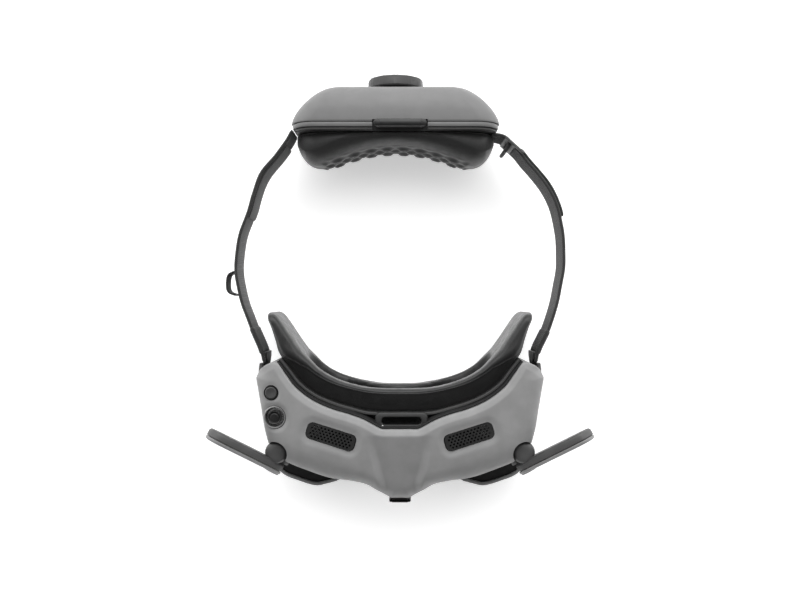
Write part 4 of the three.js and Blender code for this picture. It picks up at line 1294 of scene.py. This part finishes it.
def blade_frame():
    """Right-hand pivot, and the blade's directions: along it, across it and out of its front."""
    centre, forward = hinge_line()
    outward = np.cross(forward, [0, 0, 1.0])
    outward /= np.linalg.norm(outward)
    outward *= np.sign(outward[0])
    cos, sin = math.cos(BLADE_TURN), math.sin(BLADE_TURN)
    outward, forward = outward * cos - forward * sin, forward * cos + outward * sin
    up = np.cross(outward, forward)
    up *= np.sign(up[2])
    along = outward * math.cos(BLADE_RISE) + up * math.sin(BLADE_RISE)
    return centre, along, np.cross(forward, along), forward


def blade_solid(levels):
    """A closed slab of the blade's outline: pairs of a height and how far the edge is drawn in."""
    centre, along, across, forward = blade_frame()
    outline = smooth_path(BLADE * [1, -1], 8, closed=True)
    rings = []
    for height, inset in levels:
        plan = offset_line(outline, inset)
        rings.append(centre + plan[:, :1] * along + plan[:, 1:] * across + forward * height)
    return raw_object("blade", *loft(rings))


def blade_groove(position, z0, z1):
    """A narrow groove across the blade at a distance from the pivot."""
    centre, along, across, forward = blade_frame()
    corners = ((-14, z0), (14, z0), (14, z1), (-14, z1))
    rings = []
    for a in (position - 0.3, position + 0.3):
        rings.append([centre + along * a + across * b + forward * h for b, h in corners])
    return raw_object("groove", *loft(rings))


def build_antennas():
    """Each blade is a thicker dark back half and a thinner light front half, with a fine groove between."""
    half = BLADE_T / 2
    parting = 1.2
    knuckle_r, dome_r = 7.0, 6.4
    outer = [(half, 2.4), (half, 1.5), (half - 0.25, 0.75), (half - 0.8, 0.2), (half - 1.5, 0)]
    front = blade_solid(outer + [(parting + 0.45, 0), (parting + 0.15, 0.3), (parting + 0.15, 1.2)])
    back_levels = [(-h, i) for h, i in outer]
    back = blade_solid(back_levels + [(parting - 0.45, 0), (parting - 0.15, 0.3), (parting - 0.15, 1.2)])
    grooves = (41.4, 43.4)
    depth = half - 0.45
    cut(front, *[blade_groove(g, depth, half + 2) for g in grooves])
    cut(back, *[blade_groove(g, -half - 2, -depth) for g in grooves])
    for made, part, slot, finish in (
        (front, "front", "shell", "antenna_light"), (back, "back", "antenna_plastic", "antenna_dark"),
    ):
        name, node = f"{{}}_antenna_{part}_half", f"{{}}_antenna_{part}_shell"
        dress_pair(made, name, "{}_antenna", finish, node)
    centre, *_, forward = blade_frame()
    knuckle = turned("right_antenna_barrel", centre, forward, rounded([
        (0, -14), (knuckle_r, -14), (knuckle_r, -half - 0.4), (6.2, -half - 0.3), (0, -half - 0.3),
    ], 0.5))
    x, y = barrel_top()
    top = centre[2] + 13.2
    dome = turned("dome", (x, y, 0), (0, 0, 1), rounded([
        (0, centre[2] - 4), (dome_r, centre[2] - 4), (dome_r, top - 2.2), (5.2, top - 0.5), (3, top),
        (0, top),
    ], 1.4, 5), 56)
    join(knuckle, dome)
    boss = turned("right_antenna_boss", centre, forward, rounded([
        (0, half - 0.2), (4.6, half - 0.2), (4.6, half + 0.35), (4.0, half + 0.7), (0, half + 0.8),
    ], 0.3))
    dress_pair(
        knuckle, "{}_antenna_barrel", "goggles", "antenna_dark", "{}_antenna_knuckle",
    )
    dress_pair(boss, "{}_antenna_boss", "{}_antenna", "antenna_dark")


# ------------------------------------------------------------------ headband straps

# Plan paths from the battery pack to each strap hinge, then of the tab, the buckle and the pull loop.
LEFT_STRAP = [
    [-62.5, 90.6], [-65.4, 85.2], [-71.4, 76.8], [-80.3, 65.6], [-85, 53.4], [-87.4, 45], [-92.2, 31.8],
    [-94.6, 17.9], [-94.9, 8.5], [-93.7, -0.8], [-91.4, -9.5], [-87.9, -18.8], [-85, -26],
    [-80.2, -37.4], [-78.7, -43.8],
]
RIGHT_STRAP = [
    [66.4, 80.9], [69.6, 77.4], [73.4, 72.6], [78.6, 66.7], [86.7, 56.3], [91.4, 45.2], [93.7, 34.2],
    [94.9, 22.5], [94.9, 11.5], [93.4, 2.1], [90.8, -9.5], [86.6, -23.5], [80.2, -37.4], [78.7, -43.8],
]
PACK_TAB = [[53.5, 88.2], [58.5, 87.6], [62.2, 85.8], [63.6, 83.4], [62.8, 81.2], [60.4, 78.2]]
BUCKLE_LINE = [[60.9, 86.2], [65.8, 81.8], [71.2, 76.9]]
PULL_LOOP = [[-96.8, 9], [-100.4, 7], [-101.4, 2.2], [-100.6, -2.8], [-96.2, -5]]
STRAP_T = 2.6
STRAP_Z = (22.5, 47.5)
WEB_T = STRAP_T - 0.7
# Each strap's second layer: its stretch as shares of the strap, thickness, heights and distance to the side.
FOLDS = {"left": ((0.06, 0.40), 1.1, (23.5, 46.5), 1.5), "right": ((0.02, 0.36), 1.5, (23, 47), 1.75)}
SLEEVE = (0.85, 0.97)
SLEEVE_Z = (22.0, 48.0)


def resampled(line, step):
    """Points a fixed distance apart along a line, with their distances."""
    length = np.concatenate([[0], np.cumsum(np.linalg.norm(np.diff(line, axis=0), axis=1))])
    count = max(2, int(round(length[-1] / step)) + 1)
    s = np.linspace(0, length[-1], count)
    return np.column_stack([np.interp(s, length, line[:, 0]), np.interp(s, length, line[:, 1])]), s


def band(name, line, thickness, z, side=0.0, ripple=0.0, step=1.2):
    """A strip of webbing on edge along a plan line, with UVs in millimetres."""
    points, s = resampled(np.asarray(line, float), step)
    width = z[1] - z[0]
    section = rounded_rect(thickness, width, min(thickness * 0.48, 1.2), 4)
    middle = (z[0] + z[1]) / 2
    rings = []
    for k, (p, n, along) in enumerate(zip(points, side_normals(points), s)):
        wave = side + ripple * math.sin(along / 7.3) + 0.6 * ripple * math.sin(along / 3.1 + 1.0)
        thin, narrow = (0.55, 0.985) if k in (0, len(points) - 1) else (1, 1)
        rings.append([(*(p + n * (wave + a * thin)), middle + b * narrow) for a, b in section])
    made = raw_object(name, *loft(rings))
    around = np.concatenate([[0], np.cumsum(np.linalg.norm(np.diff(section, axis=0), axis=1))])
    write_uv(made, s, around)
    return made


def write_uv(piece, along, around):
    """UVs of a lofted tube: distance along it and distance round it, in millimetres."""
    mesh = piece.data
    n = len(around)
    layer = mesh.uv_layers.new(name="weave")
    values = np.zeros((len(mesh.loops), 2))
    whole = around[-1] + (around[1] - around[0])
    for polygon in mesh.polygons:
        ids = [mesh.loops[i].vertex_index for i in polygon.loop_indices]
        columns = [i % n for i in ids]
        wraps = 0 in columns and n - 1 in columns
        for loop, vertex, column in zip(polygon.loop_indices, ids, columns):
            v = whole if wraps and column == 0 else around[column]
            values[loop] = (along[vertex // n], v)
    layer.data.foreach_set("uv", values.ravel())


def strap_piece(name, line, thickness, z, replaces=(), finish="webbing", **shape):
    """A band of webbing dressed as a piece of the headband."""
    made = band(name, line, thickness, z, **shape)
    return dress(made, "headband", finish, replaces, sharp=0)


def part_of(line, start, stop):
    """A stretch of a line between two shares of its length."""
    points, s = resampled(line, 0.8)
    keep = (s >= start * s[-1]) & (s <= stop * s[-1])
    return points[keep]


def build_straps():
    """Both straps, their doubled stretches and sleeves, the pull loop, and the tab at the pack."""
    lines = {"left": smooth_path(LEFT_STRAP, 10), "right": smooth_path(RIGHT_STRAP, 10)}
    for side, line in lines.items():
        strap_piece(f"{side}_strap_web", line, WEB_T, STRAP_Z, [f"{side}_strap"], ripple=0.12)
    for side, line in lines.items():
        stretch, thickness, z, away = FOLDS[side]
        strap_piece(f"{side}_strap_fold", part_of(line, *stretch), thickness, z, side=away, ripple=0.1)
    for side, line in lines.items():
        strap_piece(f"{side}_strap_sleeve", part_of(line, *SLEEVE), STRAP_T + 0.2, SLEEVE_Z, finish="sleeve")
    loop = smooth_path(PULL_LOOP, 10)
    strap_piece("strap_pull_tab", loop, 1.2, (29, 41), ["strap_pull_loop"], finish="sleeve", step=0.7)
    strap_piece("right_pack_tab", smooth_path(PACK_TAB, 10), 2.2, (23, 47), finish="sleeve", step=0.7)
    build_buckle()


def build_buckle():
    """A flat ring standing on edge between the pack's tab and the strap, with a bar across its middle."""
    border, thickness = 3, 1.4
    line = resampled(smooth_path(BUCKLE_LINE, 8), 0.8)[0]
    low, high = STRAP_Z
    frame = raw_object("right_buckle_frame", *wall(line, thickness, low - border, high + border))
    length = len(line)
    for start, stop in ((0.14, 0.44), (0.56, 0.86)):
        part = line[int(start * length):int(stop * length)]
        cut(frame, raw_object("window", *wall(part, 4 * thickness, low, high)))
    dress(frame, "headband", "antenna_dark", ["right_buckle"])
    soften(frame, 0.35, 2)


def wall(line, thickness, low, high):
    """Points and faces of a wall standing on a plan line."""
    rings = []
    for p, n in zip(np.asarray(line, float), side_normals(line) * thickness / 2):
        rings.append([(*(p + n), low), (*(p + n), high), (*(p - n), high), (*(p - n), low)])
    return loft(rings)


# ------------------------------------------------------------------ battery pack

PACK_LO, PACK_HI = node_box("pack_rear_cover")
PACK_X = (PACK_LO[0] + PACK_HI[0]) / 2
PACK_W = PACK_HI[0] - PACK_LO[0]
PACK_H = PACK_HI[2] - PACK_LO[2]
SEAM_Y = 93.8
REAR_Y = PACK_HI[1]
NOOK_Y = 94.9
NOOK_Z = 53.6
FRAME_Y = node_box("pack_mid_frame")[0][1]
# The cover from its seam to its end: position along Y, drawn in at the sides, at the ends, corner radius.
COVER_LEVELS = np.array([
    [SEAM_Y, 0, 0, 14], [97.5, 1.2, 0, 14], [103, 4.6, 0.3, 14], [108, 9.4, 1.4, 13],
    [112, 14.6, 3.8, 11], [114.6, 19.4, 6.8, 9.5], [REAR_Y, 23, 9.8, 8],
])


def pack_ring(y, side, end, radius, steps=10):
    """An outline of the pack at a place along Y, drawn in at its sides and ends."""
    plan = rounded_rect(PACK_W - 2 * side, PACK_H - 2 * end, radius, steps)
    return [(PACK_X + a, y, PACK_H / 2 + b) for a, b in plan]


def loop_nook():
    """Room in the pack's top for the loop that an overhead strap passes through."""
    return block((-15.8, 15.8), (80, NOOK_Y), (NOOK_Z, 70))


def build_pack_cover():
    """The rounded grey cover over the cells, open for the dial, the power button and the loop."""
    levels = smooth_path(COVER_LEVELS, 6)
    rings = [pack_ring(SEAM_Y, 0.7, 0.7, 13.4), pack_ring(SEAM_Y + 0.1, 0.25, 0.25, 13.8)]
    rings += [pack_ring(*level) for level in levels if level[0] > SEAM_Y + 0.3]
    rings.append(pack_ring(REAR_Y, 24.5, 12, 6.5))
    cover = raw_object("pack_cover_shell", *loft(rings))
    inner = raw_object("inner", *loft([
        pack_ring(SEAM_Y - 1, 2.2, 2.2, 12), pack_ring(98.5, 3.8, 2.6, 12), pack_ring(103, 6.9, 3.6, 11),
        pack_ring(108, 11.9, 4.2, 10), pack_ring(REAR_Y - 2, 20.5, 6, 8),
    ]))
    dial = node_centre("tightening_dial")
    power = node_centre("power_button")
    cut(
        cover, inner,
        turned("hole", (dial[0], 105, dial[2]), (0, 1, 0), [(3, 0), (3, 20)], 32),
        turned("hole", (power[0], 105, power[2]), (0, 1, 0), [(5.3, 0), (5.3, 20)], 48),
        loop_nook(),
    )
    dress(cover, "headband", "cover", ["pack_rear_cover"], sharp=40)


def pack_band(name, front, rear, inset, edge):
    """A hollow band of the pack between two positions along Y, with eased edges."""
    eases = ((0, edge), (0.15, edge * 0.35), (0.5, 0))
    levels = [(front + depth, ease) for depth, ease in eases]
    levels += [(rear - depth, ease) for depth, ease in eases[::-1]]
    rings = [pack_ring(y, inset + ease, inset * 0.3 + ease, 14 - inset) for y, ease in levels]
    return raw_object(name, *loft(rings))


def build_pack_frame():
    """The dark frame behind the pad and the light rim between it and the cover."""
    split = FRAME_Y + 1.7
    well = loft([pack_ring(FRAME_Y + 1, 4.6, 3, 11), pack_ring(SEAM_Y + 2, 4.6, 3, 11)])
    body = pack_band("pack_mid_band", FRAME_Y, split, 2.4, 0.7)
    shelf = block((-17.6, 17.6), (FRAME_Y + 0.1, NOOK_Y), (NOOK_Z - 2, NOOK_Z))
    cut(body, raw_object("well", *well))
    join(body, shelf)
    cut(body, loop_nook())
    dress(body, "headband", "dark", ["pack_mid_frame"])
    rim = pack_band("pack_light_rim", split + 0.25, SEAM_Y - 0.25, 1.0, 0.4)
    cut(rim, raw_object("well", *well), loop_nook())
    dress(rim, "headband", "band")


def build_rear_loop():
    """The dark loop in the top of the pack for an overhead strap."""
    lo, hi = node_box("rear_strap_loop")
    lo[2] += 1.6
    centre = (lo + hi) / 2
    size = hi - lo
    slotted_bar(
        "rear_strap_bar", centre, (size[0] - 2.2, size[2], 1.9), (23.8, 3.4, 1.2), size[1], True,
        "headband", ["rear_strap_loop"], "black",
    )
    for sign, side in ((-1, "left"), (1, "right")):
        spot = centre + [sign * 13.2, 0, size[2] / 2 - 0.35]
        pin_head(f"{side}_rear_loop_rivet", spot, (0, 0, 1), 1.9, "headband", "black")


# The pad's face in plan: distance from the middle, and position along Y.
PAD_PLAN = np.array([
    [0, 81.6], [14, 80.2], [27, 76.8], [37, 73.2], [45, 71.4], [50.5, 72.8], [54.6, 76.2], [57, 80.4],
    [58.2, 85], [58.4, 88.6],
])


def egg_crate(x, z, pitch=9.6):
    """Staggered round bumps from 0 to 1."""
    row = np.round(z / (pitch * 0.866))
    shift = 0.5 * pitch * (np.abs(row) % 2)
    column = np.round((x - shift) / pitch)
    d = np.hypot(x - shift - column * pitch, z - row * pitch * 0.866)
    return (1 - smoothstep(1.6, 4.6, d)) * (1 - 0.45 * (1 - smoothstep(0.0, 1.4, d)))


def build_pack_pad():
    """The pad against the head: a full crown, and rows of round bumps on its hollow face."""
    middle_x, _, middle_z = node_centre("pack_pad")
    half_w, back, half_h = node_box("pack_pad")[1] - [middle_x, 0, middle_z]
    plan = smooth_path(PAD_PLAN, 12)
    steps_round, steps_in, power, bump = 300, 70, 4.2, 1.6
    turn = full_turn(steps_round)
    radius = (np.abs(np.cos(turn)) ** power + np.abs(np.sin(turn)) ** power) ** (-1 / power)
    rim = np.column_stack([half_w * np.cos(turn) * radius, half_h * np.sin(turn) * radius])
    rings = [[(middle_x + x, back, middle_z + z) for x, z in rim * 0.97]]
    for k in range(steps_in):
        share = 1 - (k / (steps_in - 1)) ** 1.35
        share = 0.004 + 0.996 * math.sin(share * math.pi / 2) ** 0.85
        x, z = (rim * share).T
        depth = back - np.interp(np.abs(x), plan[:, 0], plan[:, 1])
        edge = half_h * np.interp(np.abs(x), [0, half_w * 0.9, half_w], [1, 0.98, 0.75]) - np.abs(z)
        crown = shoulder(np.maximum(edge, 0), 20, 2.0)
        face = smoothstep(9.0, 16.0, edge) * (1 - smoothstep(39, 45, np.abs(x)))
        rise = depth * (0.16 + 0.84 * crown) * (1 if k else 0.16) + bump * egg_crate(x, z) * face
        rings.append(np.column_stack([middle_x + x, back - rise, middle_z + z]))
    pad = raw_object("pack_pad_cushion", *loft(rings))
    dress(pad, "headband", "pad", ["pack_pad"], sharp=0)


def build_dial():
    """A twelve-sided knob with a shallow ring pressed into its end."""
    lo, hi = node_box("tightening_dial")
    centre = node_centre("tightening_dial")
    sides = 12
    radius = (hi[0] - lo[0]) / 2
    top = hi[1] - 2.0

    def ring(r, y):
        points = []
        for k in range(sides):
            for t in (-0.12, 0, 0.12):
                angle = 2 * math.pi * (k + t) / sides + math.pi / 2
                reach = r if t else r * 0.985
                points.append((centre[0] + reach * math.cos(angle), y, centre[2] + reach * math.sin(angle)))
        return points

    levels = [
        (8, lo[1]), (8, top - 6.4), (radius - 1.2, top - 6.4), (radius - 0.3, top - 6.1), (radius, top - 5.4),
        (radius - 0.35, top - 1.0), (radius - 0.7, top - 0.35), (radius - 1.5, top), (10.6, top),
        (10.2, top - 0.5), (9.8, top - 0.5), (9.4, top), (1, top),
    ]
    dial = raw_object("dial_cap", *loft([ring(r, y) for r, y in levels]))
    dress(dial, "dial", "dial", ["tightening_dial"], sharp=24)


def build_power_button():
    """The round button on the cover, with a shallow hollow."""
    lo, hi = node_box("power_button")
    middle = node_centre("power_button")
    reach = hi[1] - lo[1]
    button = turned("power_button_cap", (middle[0], lo[1], middle[2]), (0, 1, 0), rounded([
        (0, 0), (5, 0), (5, reach - 0.7), (4.3, reach), (2.6, reach - 0.1), (0, reach - 0.3),
    ], 0.4))
    dress(button, "power_key", "dark", ["power_button"])


# ------------------------------------------------------------------ pieces kept from the CAD

# How wide the edges of each node are rounded.
KEPT = {
    "optics_frame": 0.4, "mainboard": 0.15, "heat_sink": 0.2, "fan_housing": 0.3, "fan_rotor": 0.15,
    "data_port": 0.25, "joystick_gimbal": 0.2, "joystick_stem": 0.2, "lower_cell": 0.8, "upper_cell": 0.8,
    "battery_board": 0.2, "dial_shaft": 0.2,
}
KEPT_PAIRS = {
    "antenna_pin": 0.3, "temple_lug": 0.5, "lug_pin": 0.4, "eye_carriage": 0.5, "display_panel": 0.3,
    "diopter_knob": 0.25, "strap_end": 0.5,
}
KEPT.update({f"{side}_{name}": width for name, width in KEPT_PAIRS.items() for side in ("left", "right")})


def finish_kept_nodes():
    for name, width in KEPT.items():
        node = NODES[name]
        node.data.shade_smooth()
        node.data.set_sharp_from_angle(angle=math.radians(30))
        soften(node, width, 3, 30)


# ------------------------------------------------------------------ build

build_stage()
paint_cad_nodes()
build_top_shell()
build_barrel_sockets()
build_bottom_shell()
build_dock_panels()
build_nose_window()
build_vent_meshes()
build_front_loop()
build_controls()
build_face_seal_frame()
build_face_cushion()
build_optics()
build_antennas()
build_straps()
build_pack_cover()
build_pack_frame()
build_rear_loop()
build_pack_pad()
build_dial()
build_power_button()
finish_kept_nodes()
